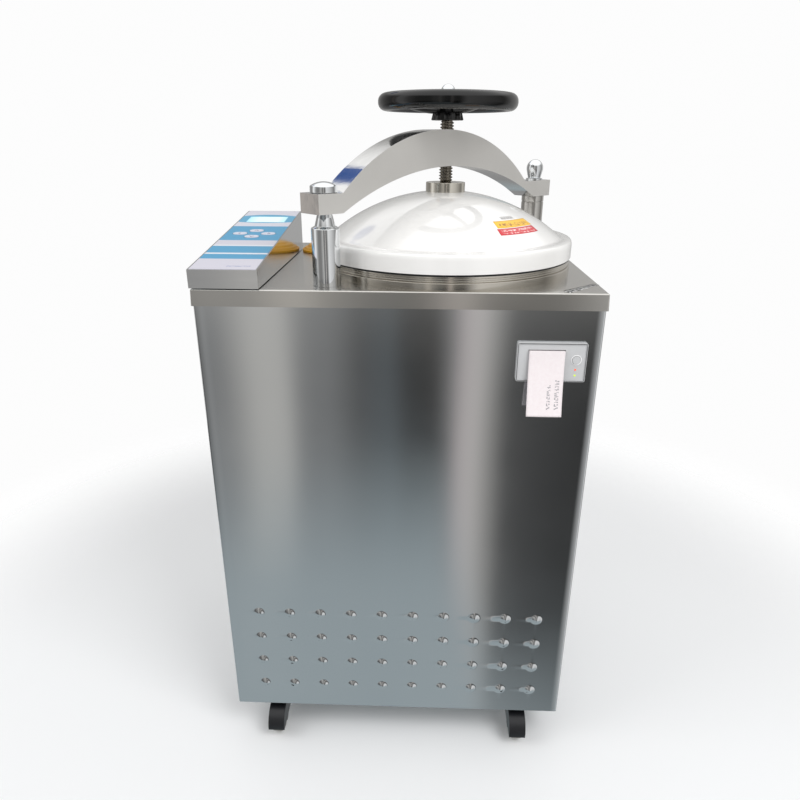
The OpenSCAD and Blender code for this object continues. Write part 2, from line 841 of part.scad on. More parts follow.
// Paper strip: an S-shaped side view, out of the slot, over the edge and down, curling out a little
module paper_strip() {
    n = 16;
    y0 = -skin_y - printer_proud;
    drop = [for (k = [0:n]) [y0 - 3 - 16 * pow(k / n, 1.6), paper_top + 2 - k / n * paper_len]];
    back = [for (k = [n:-1:0]) [drop[k][0] + 0.35, drop[k][1] - 0.15]];
    lead = [[y0 + 8, paper_top + 1.8], [y0, paper_top + 2.4], [y0 - 2.2, paper_top + 2.6]];
    back_lead = [[y0 - 2, paper_top + 2.1], [y0, paper_top + 1.95], [y0 + 8, paper_top + 1.4]];
    color("white") translate([paper_x, 0, 0]) rotate([90, 0, 90]) linear_extrude(paper_w)
        polygon(concat(lead, drop, back, back_lead));
}

// ---- power switch ----

module switch_housing() {
    color("dimgray") difference() {
        union() {
            translate([-skin_x - 1.2, switch_y - 13.5, switch_z - 17.5]) cube([1.2, 27, 35]);
            translate([-skin_x, switch_y - 11.3, switch_z - 15.3]) cube([22, 22.6, 30.6]);
        }
        translate([-skin_x - 2, switch_y - 9.3, switch_z - 13]) cube([21, 18.6, 26]);
        along_y(rocker_x, switch_z, switch_y - 10.6, switch_y + 10.6, 1.5 + run);
    }
}

module power_rocker() {
    color("black") {
        translate([rocker_x, switch_y + 9, switch_z]) rotate([90, 0, 0]) rotate([0, 0, 8]) linear_extrude(18)
            polygon([[-6.6, 11], [-5.6, 0], [-6.6, -11], [0, -9], [4, 0], [0, 9]]);
        along_y(rocker_x, switch_z, switch_y - 10.4, switch_y + 10.4, 1.5);
    }
}

// ---- water tank ----

module water_tank() {
    size = [tank_x[1] - tank_x[0], tank_y[1] - tank_y[0], tank_z[1] - tank_z[0]];
    color("ivory") difference() {
        union() {
            translate([tank_x[0], tank_y[0], tank_z[0]]) cube(size);
            along_z(filler[0], filler[1], tank_z[1] - 3, deck_z + 9, filler_r);
        }
        translate([tank_x[0] + 3, tank_y[0] + 3, tank_z[0] + 3]) cube(size - [6, 6, 6]);
        along_z(filler[0], filler[1], tank_z[1] - 10, deck_z + 10, filler_r - 3);
        along_y(inlet_x, inlet_z, tank_y[1] - 5, tank_y[1] + 1, 4.5);
        along_z(-225, 160, tank_z[0] - 1, tank_z[0] + 5, 4);
    }
}

module filler_cap() {
    color("gold") translate([filler[0], filler[1], deck_z]) difference() {
        union() {
            translate([0, 0, gap]) cylinder(r = 48, h = 5.5);
            translate([0, 0, 5]) cylinder(r1 = 46, r2 = 42, h = 5);
            translate([0, 0, 9]) cylinder(r1 = 38, r2 = 34, h = 6);
            translate([0, 0, 14]) cylinder(r1 = 26, r2 = 22, h = 5);
        }
        translate([0, 0, -1]) cylinder(r = filler_r + run, h = 10 + gap);
    }
}

// ---- castors ----

// side: -1 left, 1 right; end: -1 front, 1 back. The wheel trails away from the body's middle.
module at_castor(side, end) {
    translate([side * castor_x, end * (deck_d / 2 - castor_edge), 0]) children();
}

module castor_plates() {
    color("dimgray") for (side = [-1, 1], end = [-1, 1]) at_castor(side, end) {
        translate([-29, -29, castor_h - 3]) cube([58, 58, 3]);
        translate([0, 0, 66]) cylinder(r = stud_r, h = castor_h - 67);
        translate([0, 0, 63.5]) cylinder(r = 11, h = 3);
    }
}

module castor_fork(side, end) {
    hood_r = wheel_r + 5;
    hood_w = wheel_w + 9;
    color("black") at_castor(side, end) difference() {
        union() {
            translate([0, end * trail, 0]) difference() {
                along_x(0, wheel_r, -hood_w / 2, hood_w / 2, hood_r);
                translate([-50, -50, -20]) cube([100, 100, 20 + wheel_r - 4]);
            }
            along_x(end * trail, wheel_r, -hood_w / 2, hood_w / 2, 10);
            translate([0, 0, 55]) cylinder(r = 22, h = castor_h - 3 - gap - 55);
        }
        along_x(end * trail, wheel_r, -wheel_w / 2 - 1.2, wheel_w / 2 + 1.2, wheel_r + 2);
        translate([0, 0, 20]) cylinder(r = 12, h = 47);
        translate([0, 0, 20]) cylinder(r = stud_r + run, h = 90);
    }
    color("gray") at_castor(side, end)
        along_x(end * trail, wheel_r, -wheel_w / 2 - 3, wheel_w / 2 + 3, 4);
}

module castor_wheel(side, end) {
    color("gray") at_castor(side, end) translate([0, end * trail, wheel_r]) rotate([0, 90, 0]) difference() {
        union() {
            cylinder(r = wheel_r, h = wheel_w - 6, center = true);
            for (m = [0, 1]) mirror([0, 0, m]) translate([0, 0, wheel_w / 2 - 3])
                cylinder(r1 = wheel_r, r2 = wheel_r - 3, h = 3);
        }
        cylinder(r = 4 + run, h = wheel_w + 2, center = true);
        for (m = [0, 1]) mirror([0, 0, m]) translate([0, 0, wheel_w / 2 - 2]) ring(9, wheel_r - 7, 0, 3);
    }
}

module castor_fork_front_left() { castor_fork(-1, -1); }
module castor_fork_front_right() { castor_fork(1, -1); }
module castor_fork_rear_left() { castor_fork(-1, 1); }
module castor_fork_rear_right() { castor_fork(1, 1); }
module castor_wheel_front_left() { castor_wheel(-1, -1); }
module castor_wheel_front_right() { castor_wheel(1, -1); }
module castor_wheel_rear_left() { castor_wheel(-1, 1); }
module castor_wheel_rear_right() { castor_wheel(1, 1); }

base_tray();
cabinet_wrap();
rear_panel();
panel_screws();
deck_plate();
chamber_shell();
chamber_legs();
chamber_flange();
collar_trim();
yoke_plate();
insulation_jacket();
heating_element();
element_guard();
lower_basket();
upper_basket();
pipework();
pivot_post();
lock_post();
pivot_cap();
yoke_beam();
screw_nut();
lid_shell();
lid_dish();
lid_gasket();
screw_seat();
lift_screw();
handwheel();
wheel_nut();
lock_washer();
lock_knob();
control_housing();
control_overlay();
display_window();
control_board();
key_up();
key_down();
key_left();
key_right();
printer_bezel();
printer_body();
printer_button();
paper_roll();
paper_strip();
switch_housing();
power_rocker();
water_tank();
filler_cap();
drain_valve();
drain_handle();
safety_valve();
cable_gland();
castor_plates();
castor_fork_front_left();
castor_fork_front_right();
castor_fork_rear_left();
castor_fork_rear_right();
castor_wheel_front_left();
castor_wheel_front_right();
castor_wheel_rear_left();
castor_wheel_rear_right();
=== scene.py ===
# %% [markdown]
# # A vertical steam autoclave
# The machine is a steel cabinet on castors. A pressure vessel stands in it, and its enamelled lid hangs
# from a screw in an arched yoke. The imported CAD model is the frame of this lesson: it says where each
# part is and what moves. Blender adds what the CAD leaves plain: bent sheet edges, pressed dimples, a
# real thread, wire baskets, prints and finishes.

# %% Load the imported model
import json
import math
import bmesh
import bpy
import numpy as np
from mathutils import Matrix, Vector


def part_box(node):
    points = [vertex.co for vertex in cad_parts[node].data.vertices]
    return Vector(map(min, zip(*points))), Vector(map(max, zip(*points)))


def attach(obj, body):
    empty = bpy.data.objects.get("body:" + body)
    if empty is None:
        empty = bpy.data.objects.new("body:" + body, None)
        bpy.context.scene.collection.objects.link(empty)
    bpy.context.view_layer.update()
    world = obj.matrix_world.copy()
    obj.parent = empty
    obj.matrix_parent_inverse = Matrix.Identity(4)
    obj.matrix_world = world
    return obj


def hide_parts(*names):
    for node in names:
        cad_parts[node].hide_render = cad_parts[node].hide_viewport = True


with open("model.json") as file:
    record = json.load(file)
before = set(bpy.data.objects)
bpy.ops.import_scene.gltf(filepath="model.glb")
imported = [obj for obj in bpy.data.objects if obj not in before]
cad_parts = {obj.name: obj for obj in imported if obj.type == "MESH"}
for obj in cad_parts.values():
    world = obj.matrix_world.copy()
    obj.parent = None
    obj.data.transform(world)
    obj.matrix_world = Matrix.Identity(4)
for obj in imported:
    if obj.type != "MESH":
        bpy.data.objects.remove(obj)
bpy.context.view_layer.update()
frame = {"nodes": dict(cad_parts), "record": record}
nodes = frame["nodes"]
record = frame["record"]
slot_of = {part["node"]: part["material_slot"] for part in record["subparts"]}
body_of = {node: body for body, group in record["behaviour"]["bodies"].items() for node in group}

# %% [markdown]
# ## Places
# Every place comes from the frame's own boxes, so a change of the CAD moves the looks with it. Lengths
# below are in millimetres, because that is how such a machine is drawn, and one factor turns them to
# Blender's metres.

# %% Driving places, in metres
MM = 0.001


def corners(node):
    """Lowest and highest corner of a node as arrays."""
    low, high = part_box(node)
    return np.array(low), np.array(high)


def middle(node):
    """Centre of a node's box in plan."""
    low, high = corners(node)
    return (low[:2] + high[:2]) / 2


deck_low, deck_high = corners("deck_plate")
deck_z = deck_high[2]
front_y = deck_low[1]
skin_low, skin_high = corners("cabinet_wrap")
skin_front = corners("rear_panel")[1][1] * -1
vessel = np.append(middle("lid_shell"), deck_z)
pivot = np.append(middle("pivot_post"), deck_z)
lock = np.append(middle("lock_post"), deck_z)
EAST, NORTH, UP = np.eye(3)
along_yoke = (lock - pivot) / np.linalg.norm(lock - pivot)
across_yoke = np.cross(UP, along_yoke)
print("vessel axis", vessel.round(4), "pivot", pivot.round(4), "lock", lock.round(4))

# %% [markdown]
# ## Camera
# The camera stands 1.25 m in front of the machine's middle and 1.17 m above the floor, and looks down
# by 22 degrees. Its verticals converge, which a lens shift would hide, so the lens is plain and only
# its angles are set.

# %% Camera
camera = bpy.data.objects.new("camera", bpy.data.cameras.new("camera"))
bpy.context.scene.collection.objects.link(camera)
camera.data.lens = 29.23
camera.data.clip_start = 0.01
camera.location = (0.0362, -1.2515, 1.1704)
heading, dip, roll = math.radians(1.832), math.radians(22.022), math.radians(0.281)
aimed = (Matrix.Rotation(heading, 3, "Z") @ Matrix.Rotation(math.pi / 2 - dip, 3, "X")
         @ Matrix.Rotation(roll, 3, "Z"))
camera.rotation_mode = "QUATERNION"
camera.rotation_quaternion = aimed.to_quaternion()
bpy.context.scene.camera = camera
bpy.context.scene.view_settings.view_transform = "Standard"
print("camera at", tuple(round(c, 3) for c in camera.location), "lens", camera.data.lens)

# %% [markdown]
# ## Node and colour helpers
# A shader is a graph. One helper adds a node with its settings, its sockets' values and its links, and
# another turns a paint-chart hex to the linear values that the renderer adds up.

# %% Helpers for shaders


def paint(hex_code):
    """sRGB hex to linear: c / 12.92 below 0.04045, else ((c + 0.055) / 1.055) ^ 2.4."""
    c = np.array([int(hex_code[i:i + 2], 16) for i in (1, 3, 5)]) / 255
    linear = np.where(c <= 0.04045, c / 12.92, ((c + 0.055) / 1.055) ** 2.4)
    return (*linear.tolist(), 1.0)


def add(tree, kind, values=None, links=None, **settings):
    """Adds a node: settings are its options, values its sockets' constants, links its incoming wires."""
    node = tree.nodes.new(kind)
    for key, value in settings.items():
        setattr(node, key, value)
    for socket, value in (values or {}).items():
        node.inputs[socket].default_value = value
    for socket, source in (links or {}).items():
        tree.links.new(source, node.inputs[socket])
    return node


def new_material(name, **shader):
    """A material with one Principled shader whose constants sit on its own sockets."""
    material = bpy.data.materials.new(name)
    material.use_nodes = True
    tree = material.node_tree
    tree.nodes.clear()
    values = {key.replace("_", " "): value for key, value in shader.items()}
    bsdf = add(tree, "ShaderNodeBsdfPrincipled", values)
    add(tree, "ShaderNodeOutputMaterial", links={"Surface": bsdf.outputs[0]})
    place = add(tree, "ShaderNodeTexCoord").outputs["Object"]
    return material, tree, bsdf, place


def stepped(tree, factor, stops, interpolation="LINEAR"):
    """A colour ramp with stops [(position, hex or linear rgba)], read along a factor."""
    ramp = add(tree, "ShaderNodeValToRGB", links={0: factor}).color_ramp
    ramp.interpolation = interpolation
    while len(ramp.elements) < len(stops):
        ramp.elements.new(1.0)
    for element, (position, colour) in zip(ramp.elements, stops):
        element.position = position
    for element, (position, colour) in zip(ramp.elements, stops):
        element.color = paint(colour) if isinstance(colour, str) else colour
    return tree.nodes[-1].outputs[0]


# %% [markdown]
# ## Studio
# Polished steel has no look of its own: it shows the room. On this cabinet the room is a row of upright
# bands, bright doorway, dark curtain, pale wall, and below them the floor. So the world gives shiny rays
# bands by compass angle, gives matt surfaces an even light, and shows the camera a pale backdrop.

# %% World
world = bpy.data.worlds.new("studio")
bpy.context.scene.world = world
world.use_nodes = True
sky = world.node_tree
sky.nodes.clear()
look = add(sky, "ShaderNodeTexCoord").outputs["Generated"]
look_parts = add(sky, "ShaderNodeSeparateXYZ", links={0: look})
backwards = add(sky, "ShaderNodeMath", {1: -1.0}, {0: look_parts.outputs[1]}, operation="MULTIPLY")
compass = add(sky, "ShaderNodeMath", links={0: look_parts.outputs[0], 1: backwards.outputs[0]},
              operation="ARCTAN2")
turned_share = add(sky, "ShaderNodeMapRange", {"From Min": -math.pi, "From Max": math.pi},
                   {0: compass.outputs[0]})


def grey(level, tint=(1, 1, 1)):
    """A linear grey with a slight tint."""
    return (level * tint[0], level * tint[1], level * tint[2], 1)


WARM, COOL, ROSE, EARTH = (1.03, 1.0, 0.95), (0.88, 1.0, 1.08), (1.08, 0.97, 0.96), (1.12, 1.0, 0.93)
# Each band is a compass angle in degrees, 0 straight ahead of the front, and a grey level
room = [
    (-180, grey(0.30)), (-150, grey(0.30)), (-126, grey(0.22)), (-104, grey(0.12)),
    (-102, grey(0.55, EARTH)), (-98, grey(0.14)), (-90, grey(0.95)), (-80, grey(1.0)),
    (-68, grey(0.42)), (-52, grey(0.10)), (-30, grey(0.10)), (-24, grey(0.30)),
    (-17.8, grey(0.24)), (-16, grey(0.52, WARM)), (-12.8, grey(0.56, WARM)), (-11, grey(0.22)),
    (-8.5, grey(0.22)), (-6.7, grey(0.15)), (-5.2, grey(0.07)), (-3.2, grey(0.13, COOL)),
    (-1.6, grey(0.04)), (1.7, grey(0.02, EARTH)), (3.2, grey(0.22)), (4.4, grey(0.60, ROSE)),
    (6.2, grey(0.58, WARM)), (7.8, grey(0.08)), (17, grey(0.03)), (30, grey(0.85)),
    (60, grey(0.60)), (100, grey(0.10)), (122, grey(0.60)), (180, grey(0.30)),
]
bands = stepped(sky, turned_share.outputs[0], [((a + 180) / 360, c) for a, c in room])
# Steep rays see a pale ceiling
overhead = stepped(sky, look_parts.outputs[2], [(0.0, grey(0)), (0.42, grey(0)), (0.62, grey(0.9)),
                                                (1.0, grey(1))])
ceiling = add(sky, "ShaderNodeMix", {7: grey(1.5)}, {0: overhead, 6: bands}, data_type="RGBA")
# The floor begins where the ray's height passes minus fade_start, and is complete 0.15 lower
fade_start = stepped(sky, turned_share.outputs[0],
                     [((a + 180) / 360, grey(c)) for a, c in ((-10, 0.45), (2, 0.43), (8, 0.64))])
below = add(sky, "ShaderNodeMath", links={0: look_parts.outputs[2], 1: fade_start}, operation="ADD")
down = add(sky, "ShaderNodeMapRange", {"From Min": 0.0, "From Max": -0.15}, {0: below.outputs[0]})
# Above the sill the bands are a fifth paler
above_sill = add(sky, "ShaderNodeMapRange", {"From Min": -0.27, "From Max": -0.23, "To Max": 0.2},
                 {0: look_parts.outputs[2]})
sill = add(sky, "ShaderNodeMix", {7: grey(0.75, WARM)}, {0: above_sill.outputs[0], 6: ceiling.outputs[2]},
           data_type="RGBA")
# A blue poster on a far wall, seen in the left shoulder of the polished arch
POSTER_WAY, POSTER_EDGE = (-0.475, 0.634, 0.61), (0.9955, 0.9972)
poster = add(sky, "ShaderNodeVectorMath", {1: POSTER_WAY}, {0: look}, operation="DOT_PRODUCT")
poster_share = add(sky, "ShaderNodeMapRange", {"From Min": POSTER_EDGE[0], "From Max": POSTER_EDGE[1]},
                   {0: poster.outputs["Value"]})
wall = add(sky, "ShaderNodeMix", {7: paint("#3E5FA3")}, {0: poster_share.outputs[0], 6: sill.outputs[2]},
           data_type="RGBA")
room_light = add(sky, "ShaderNodeMix", {7: grey(0.44, (0.87, 1.0, 1.05))},
                 {0: down.outputs[0], 6: wall.outputs[2]}, data_type="RGBA")
rays = add(sky, "ShaderNodeLightPath")
matt_light = add(sky, "ShaderNodeMix", {7: grey(0.62)},
                 {0: rays.outputs["Is Diffuse Ray"], 6: room_light.outputs[2]}, data_type="RGBA")
seen_light = add(sky, "ShaderNodeMix", {7: grey(0.98)},
                 {0: rays.outputs["Is Camera Ray"], 6: matt_light.outputs[2]}, data_type="RGBA")
glow = add(sky, "ShaderNodeBackground", links={0: seen_light.outputs[2]})
add(sky, "ShaderNodeOutputWorld", links={0: glow.outputs[0]})
print("world bands", len(room))

# %% [markdown]
# Two large soft lamps stand in front, the stronger one up and to the right. They give the small parts a
# shadow side and the floor its shade. Shiny rays don't see them or the floor, because a lamp's square
# image in brushed steel would hide the bands. The floor is a pale disc that fades out at its edge.

# %% Lamps and floor
LAMPS = (("key_lamp", (1.5, -1.7, 2.9), 1.6, 48), ("fill_lamp", (-2.2, -0.9, 2.2), 1.8, 20))
for lamp_name, spot, size, power in LAMPS:
    lamp = bpy.data.objects.new(lamp_name, bpy.data.lights.new(lamp_name, "AREA"))
    bpy.context.scene.collection.objects.link(lamp)
    lamp.data.size = size
    lamp.data.energy = power
    lamp.location = spot
    aim = np.array([0, 0, 0.8]) - np.array(spot)
    lamp.rotation_euler = (math.acos(-aim[2] / np.linalg.norm(aim)), 0,
                           math.atan2(aim[1], aim[0]) - math.pi / 2)
    lamp.visible_camera = False
    lamp.visible_glossy = False

FLOOR_R, FADE_R = 1.7, 0.9
floor_material, tree, bsdf, place = new_material("pale_floor", Base_Color=paint("#F4F5F6"), Roughness=0.6)
distance = add(tree, "ShaderNodeVectorMath", links={0: place}, operation="LENGTH")
fade = add(tree, "ShaderNodeMapRange", {"From Min": FADE_R, "From Max": FLOOR_R},
           {0: distance.outputs["Value"]}, interpolation_type="SMOOTHSTEP")
path = add(tree, "ShaderNodeLightPath")
shown = add(tree, "ShaderNodeBsdfTransparent")
# Shiny rays pass through the floor to the world, whose lower half stands for it
for_shiny = add(tree, "ShaderNodeMixShader", links={0: path.outputs["Is Glossy Ray"], 1: bsdf.outputs[0],
                                                    2: shown.outputs[0]})
edge = add(tree, "ShaderNodeMixShader", links={0: fade.outputs[0], 1: for_shiny.outputs[0],
                                               2: shown.outputs[0]})
tree.links.new(edge.outputs[0], next(n for n in tree.nodes if n.type == "OUTPUT_MATERIAL").inputs[0])
around = np.linspace(0, 2 * np.pi, 97)[:-1]
rim_points = FLOOR_R * np.stack([np.cos(around), np.sin(around), 0 * around], 1)
disc = bpy.data.meshes.new("floor")
disc.from_pydata(rim_points.tolist(), [], [list(range(96))])
disc.materials.append(floor_material)
floor = bpy.data.objects.new("floor", disc)
bpy.context.scene.collection.objects.link(floor)
print("lamps and floor ready")

# %% [markdown]
# ## Shapes from grids
# A surface is a table of points: rows run one way over it and columns the other. If the last row joins
# the first, the surface is a tube, and if a profile is turned about an axis it is a lathe part. All
# points are worked out at once with arrays, then the table becomes quads. Open ends are closed and the
# faces are turned outwards, so each shell could be milled or printed.

# %% Helpers for meshes


def quads(shape, wrap_rows, wrap_columns):
    """Corner numbers of each cell of a grid; a wrapped direction joins its last line to its first."""
    rows, columns = shape
    i = np.arange(rows if wrap_rows else rows - 1)[:, None]
    j = np.arange(columns if wrap_columns else columns - 1)[None, :]
    below, right = (i + 1) % rows, (j + 1) % columns
    cells = [i * columns + j, i * columns + right, below * columns + right, below * columns + j]
    return np.stack(np.broadcast_arrays(*cells), -1).reshape(-1, 4)


def piece(name, *shells, sharp=32, closed=True):
    """One mesh from shells, each (points, wrap rows, wrap columns) in metres."""
    whole = bmesh.new()
    for points, wrap_rows, wrap_columns in shells:
        part = bpy.data.meshes.new("part")
        faces = quads(points.shape[:2], wrap_rows, wrap_columns)
        part.from_pydata(points.reshape(-1, 3).tolist(), [], faces.tolist())
        shell = bmesh.new()
        shell.from_mesh(part)
        bmesh.ops.remove_doubles(shell, verts=shell.verts, dist=1e-6)
        bmesh.ops.dissolve_degenerate(shell, dist=1e-7, edges=shell.edges)
        if closed:
            bmesh.ops.holes_fill(shell, edges=[e for e in shell.edges if e.is_boundary], sides=0)
        bmesh.ops.recalc_face_normals(shell, faces=shell.faces)
        shell.to_mesh(part)
        shell.free()
        whole.from_mesh(part)
        bpy.data.meshes.remove(part)
    mesh = bpy.data.meshes.new(name)
    whole.to_mesh(mesh)
    whole.free()
    mesh.shade_smooth()
    mesh.set_sharp_from_angle(angle=math.radians(sharp))
    made = bpy.data.objects.new(name, mesh)
    bpy.context.scene.collection.objects.link(made)
    return made


def soften(path, radius, closed=False, steps=5):
    """Rounds each corner P: (1-t)^2 A + 2t(1-t) P + t^2 B, with A and B a radius before and after P."""
    p = np.asarray(path, float)
    before = np.roll(p, 1, 0) - p
    after = np.roll(p, -1, 0) - p
    reach = np.broadcast_to(np.reshape(radius, (-1, 1)), (len(p), 1))
    a = p + before * np.minimum(reach / np.linalg.norm(before, axis=1, keepdims=True), 0.45)
    b = p + after * np.minimum(reach / np.linalg.norm(after, axis=1, keepdims=True), 0.45)
    t = np.linspace(0, 1, steps)[None, :, None]
    curve = (1 - t) ** 2 * a[:, None] + 2 * t * (1 - t) * p[:, None] + t ** 2 * b[:, None]
    curve = curve.reshape(-1, p.shape[1])
    return curve if closed else np.concatenate([p[:1], curve[steps:-steps], p[-1:]])


def dense(path, step, extra):
    """The same polyline with points added: at each step along it, and at the extra distances."""
    length = np.concatenate([[0], np.cumsum(np.linalg.norm(np.diff(path, axis=0), axis=1))])
    at = np.unique(np.concatenate([length, np.arange(0, length[-1], step), extra]).round(5))
    return np.stack([np.interp(at, length, path[:, k]) for k in range(path.shape[1])], 1)


def arc(centre, radius, start, end, steps=24):
    """Points on a circle from one angle to another, in degrees."""
    a = np.radians(np.linspace(start, end, steps))
    return np.stack([centre[0] + radius * np.cos(a), centre[1] + radius * np.sin(a)], 1)


def lathe(profile, base, axis=UP, steps=120, closed=False):
    """Turns (radius, height) in millimetres about an axis: base + r cos a E + r sin a F + h axis."""
    side = NORTH if abs(axis[1]) < 0.5 else UP
    e = np.cross(side, axis)
    f = np.cross(axis, e)
    a = np.linspace(0, 2 * np.pi, steps, endpoint=False)
    r, h = np.asarray(profile, float).T * MM
    swing = np.cos(a)[:, None] * e + np.sin(a)[:, None] * f
    return base + r[:, None, None] * swing + h[:, None, None] * axis, closed, True


def prism(outline, low, high, base=np.zeros(3), e=EAST, f=NORTH):
    """An outline in millimetres in the plane of e and f, raised from low to high."""
    flat = base + MM * (outline[:, :1] * e + outline[:, 1:] * f)
    up = np.cross(e, f)
    return np.stack([flat + MM * low * up, flat + MM * high * up]), False, True


def tube(path, radius, sides=8, closed=False, up=UP):
    """A round wire along a path: path + radius (cos a S + sin a N), with S across the path and up."""
    p = np.asarray(path, float)
    ahead = np.roll(p, -1, 0) - np.roll(p, 1, 0) if closed else np.gradient(p, axis=0)
    ahead /= np.linalg.norm(ahead, axis=1, keepdims=True)
    side = np.cross(ahead, up)
    side /= np.maximum(np.linalg.norm(side, axis=1, keepdims=True), 1e-9)
    over = np.cross(side, ahead)
    a = np.linspace(0, 2 * np.pi, sides, endpoint=False)[None, :, None]
    return p[:, None] + radius * MM * (np.cos(a) * side[:, None] + np.sin(a) * over[:, None]), closed, True


def settle(made):
    """Turns live modifiers into mesh, so the mesh holds what is seen."""
    bpy.context.view_layer.update()
    done = bpy.data.meshes.new_from_object(made.evaluated_get(bpy.context.evaluated_depsgraph_get()))
    old = made.data
    made.modifiers.clear()
    made.data = done
    done.name = made.name
    bpy.data.meshes.remove(old)
    return made


def thicken(made, thickness, offset=0):
    """Gives an open sheet its thickness in millimetres."""
    thick = made.modifiers.new("sheet", "SOLIDIFY")
    thick.thickness, thick.offset = thickness * MM, offset
    return settle(made)


def bore(made, *shells):
    """Cuts shells out of a piece with an exact boolean."""
    tools = [piece("tool", shell) for shell in shells]
    for tool in tools:
        cut = made.modifiers.new("cut", "BOOLEAN")
        cut.operation, cut.solver, cut.object = "DIFFERENCE", "EXACT", tool
    settle(made)
    for tool in tools:
        bpy.data.objects.remove(tool)
    return made


def ease(made, width):
    """Bevels edges sharper than 38 degrees, and leans the normals to the large faces."""
    made.data.shade_smooth()
    edge_break = made.modifiers.new("edge", "BEVEL")
    edge_break.width, edge_break.segments = width * MM, 2
    edge_break.limit_method, edge_break.angle_limit = "ANGLE", math.radians(38)
    edge_break.miter_outer = "MITER_ARC"
    lean = made.modifiers.new("lean", "WEIGHTED_NORMAL")
    lean.keep_sharp = True
    return settle(made)


def softened(node, width):
    """A copy of a CAD node with its triangles merged to faces and its edges eased."""
    source = nodes[node].data
    points = np.empty(len(source.vertices) * 3, np.float32)
    source.vertices.foreach_get("co", points)
    corner = np.empty(len(source.loops), np.int32)
    source.loops.foreach_get("vertex_index", corner)
    copy = bpy.data.meshes.new(node + "_eased")
    copy.from_pydata(points.reshape(-1, 3).tolist(), [], corner.reshape(-1, 3).tolist())
    shell = bmesh.new()
    shell.from_mesh(copy)
    bmesh.ops.remove_doubles(shell, verts=shell.verts, dist=2e-6)
    bmesh.ops.dissolve_limit(shell, angle_limit=math.radians(0.5), verts=shell.verts, edges=shell.edges)
    shell.to_mesh(copy)
    shell.free()
    made = bpy.data.objects.new(node + "_eased", copy)
    bpy.context.scene.collection.objects.link(made)
    return ease(made, width)


def stand_for(made, *named):
    """The piece takes the first node's body and slot, and stands for all the named nodes."""
    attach(made, body_of[named[0]])
    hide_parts(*named)
    if not made.data.materials:
        made.data.materials.append(finish_of(named[0]))
    print(made.name, "stands for", ", ".join(named), "-", len(made.data.polygons), "faces")
    return made


def lie_on(made, node, material):
    """A print or trim that moves with a node and shows a finish of its own."""
    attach(made, body_of[node])
    made.data.materials.append(material)
    print(made.name, "rides with", node)
    return made


print("mesh helpers ready")

# %% [markdown]
# ## Ways to age a surface
# Two habits serve most finishes here. The first lets a colour and a gloss drift over blotches some
# centimetres wide, because no real surface is even. The second is a fine relief at the size of the
# grit, grain or mould texture. Where the real grain is finer than the picture can show, it is drawn
# coarser, and the comment says so.

# %% Drift, relief and grain


def drift(tree, bsdf, place, light, dark, blotch_mm, rough, swing):
    """Colour moves between two near hexes, and roughness swings about its value, over noise blotches."""
    noise = add(tree, "ShaderNodeTexNoise", {"Scale": 1000 / blotch_mm, "Detail": 5.0}, {"Vector": place})
    tone = add(tree, "ShaderNodeMix", {6: paint(dark), 7: paint(light)}, {0: noise.outputs[0]},
               data_type="RGBA")
    gloss = add(tree, "ShaderNodeMapRange", {"From Min": 0.0, "From Max": 1.0, "To Min": rough - swing,
                                             "To Max": rough + swing},
                {0: noise.outputs[0]})
    tree.links.new(tone.outputs[2], bsdf.inputs["Base Color"])
    tree.links.new(gloss.outputs[0], bsdf.inputs["Roughness"])
    return tone.outputs[2]


def relief(tree, bsdf, place, scale, depth_mm):
    """A bump from noise. Its scale per metre is one number, or three for a grain with a direction."""
    if isinstance(scale, (int, float)):
        scale = (scale, scale, scale)
    stretched = add(tree, "ShaderNodeVectorMath", {1: scale}, {0: place}, operation="MULTIPLY")
    grain = add(tree, "ShaderNodeTexNoise", {"Scale": 1.0, "Detail": 2.0}, {"Vector": stretched.outputs[0]})
    bump = add(tree, "ShaderNodeBump", {"Distance": depth_mm * MM, "Strength": 1.0},
               {"Height": grain.outputs[0]})
    tree.links.new(bump.outputs[0], bsdf.inputs["Normal"])
    return grain.outputs[0]


def smear_across(tree, bsdf, grain):
    """Points the long side of the highlight across the grain: tangent = normal x grain."""
    normal = add(tree, "ShaderNodeNewGeometry").outputs["Normal"]
    across = add(tree, "ShaderNodeVectorMath", links={0: normal}, operation="CROSS_PRODUCT")
    if isinstance(grain, tuple):
        across.inputs[1].default_value = grain
    else:
        tree.links.new(grain, across.inputs[1])
    unit = add(tree, "ShaderNodeVectorMath", links={0: across.outputs[0]}, operation="NORMALIZE")
    tree.links.new(unit.outputs[0], bsdf.inputs["Tangent"])


def around_axis(tree, place, axis):
    """Direction round an upright axis at each point: up x (point - axis)."""
    arm = add(tree, "ShaderNodeVectorMath", {1: (axis[0], axis[1], 0.0)}, {0: place}, operation="SUBTRACT")
    turn = add(tree, "ShaderNodeVectorMath", {0: (0.0, 0.0, 1.0)}, {1: arm.outputs[0]},
               operation="CROSS_PRODUCT")
    return turn.outputs[0]


print("surface habits ready")

# %% [markdown]
# ## Metals
# The cabinet is stainless sheet, grade 304, sold with a brushed face. The brush runs from side to
# side, so reflections smear up and down and the room turns into upright bands. That is anisotropy, with
# its tangent across the grain. The real grain is about 0.1 mm, drawn here near 1 mm so that it shows.

# %% Brushed sheet


def brushed_sheet(name, light, dark, rough, grain_scale, depth_mm, anisotropy):
    """Stainless sheet brushed along X: stretched noise for the grain, blotches for handling."""
    material, tree, bsdf, place = new_material(name, Metallic=1.0, Anisotropic=anisotropy)
    drift(tree, bsdf, place, light, dark, 180, rough, 0.03)
    relief(tree, bsdf, place, grain_scale, depth_mm)
    smear_across(tree, bsdf, (1.0, 0.02, 0.0))
    return material


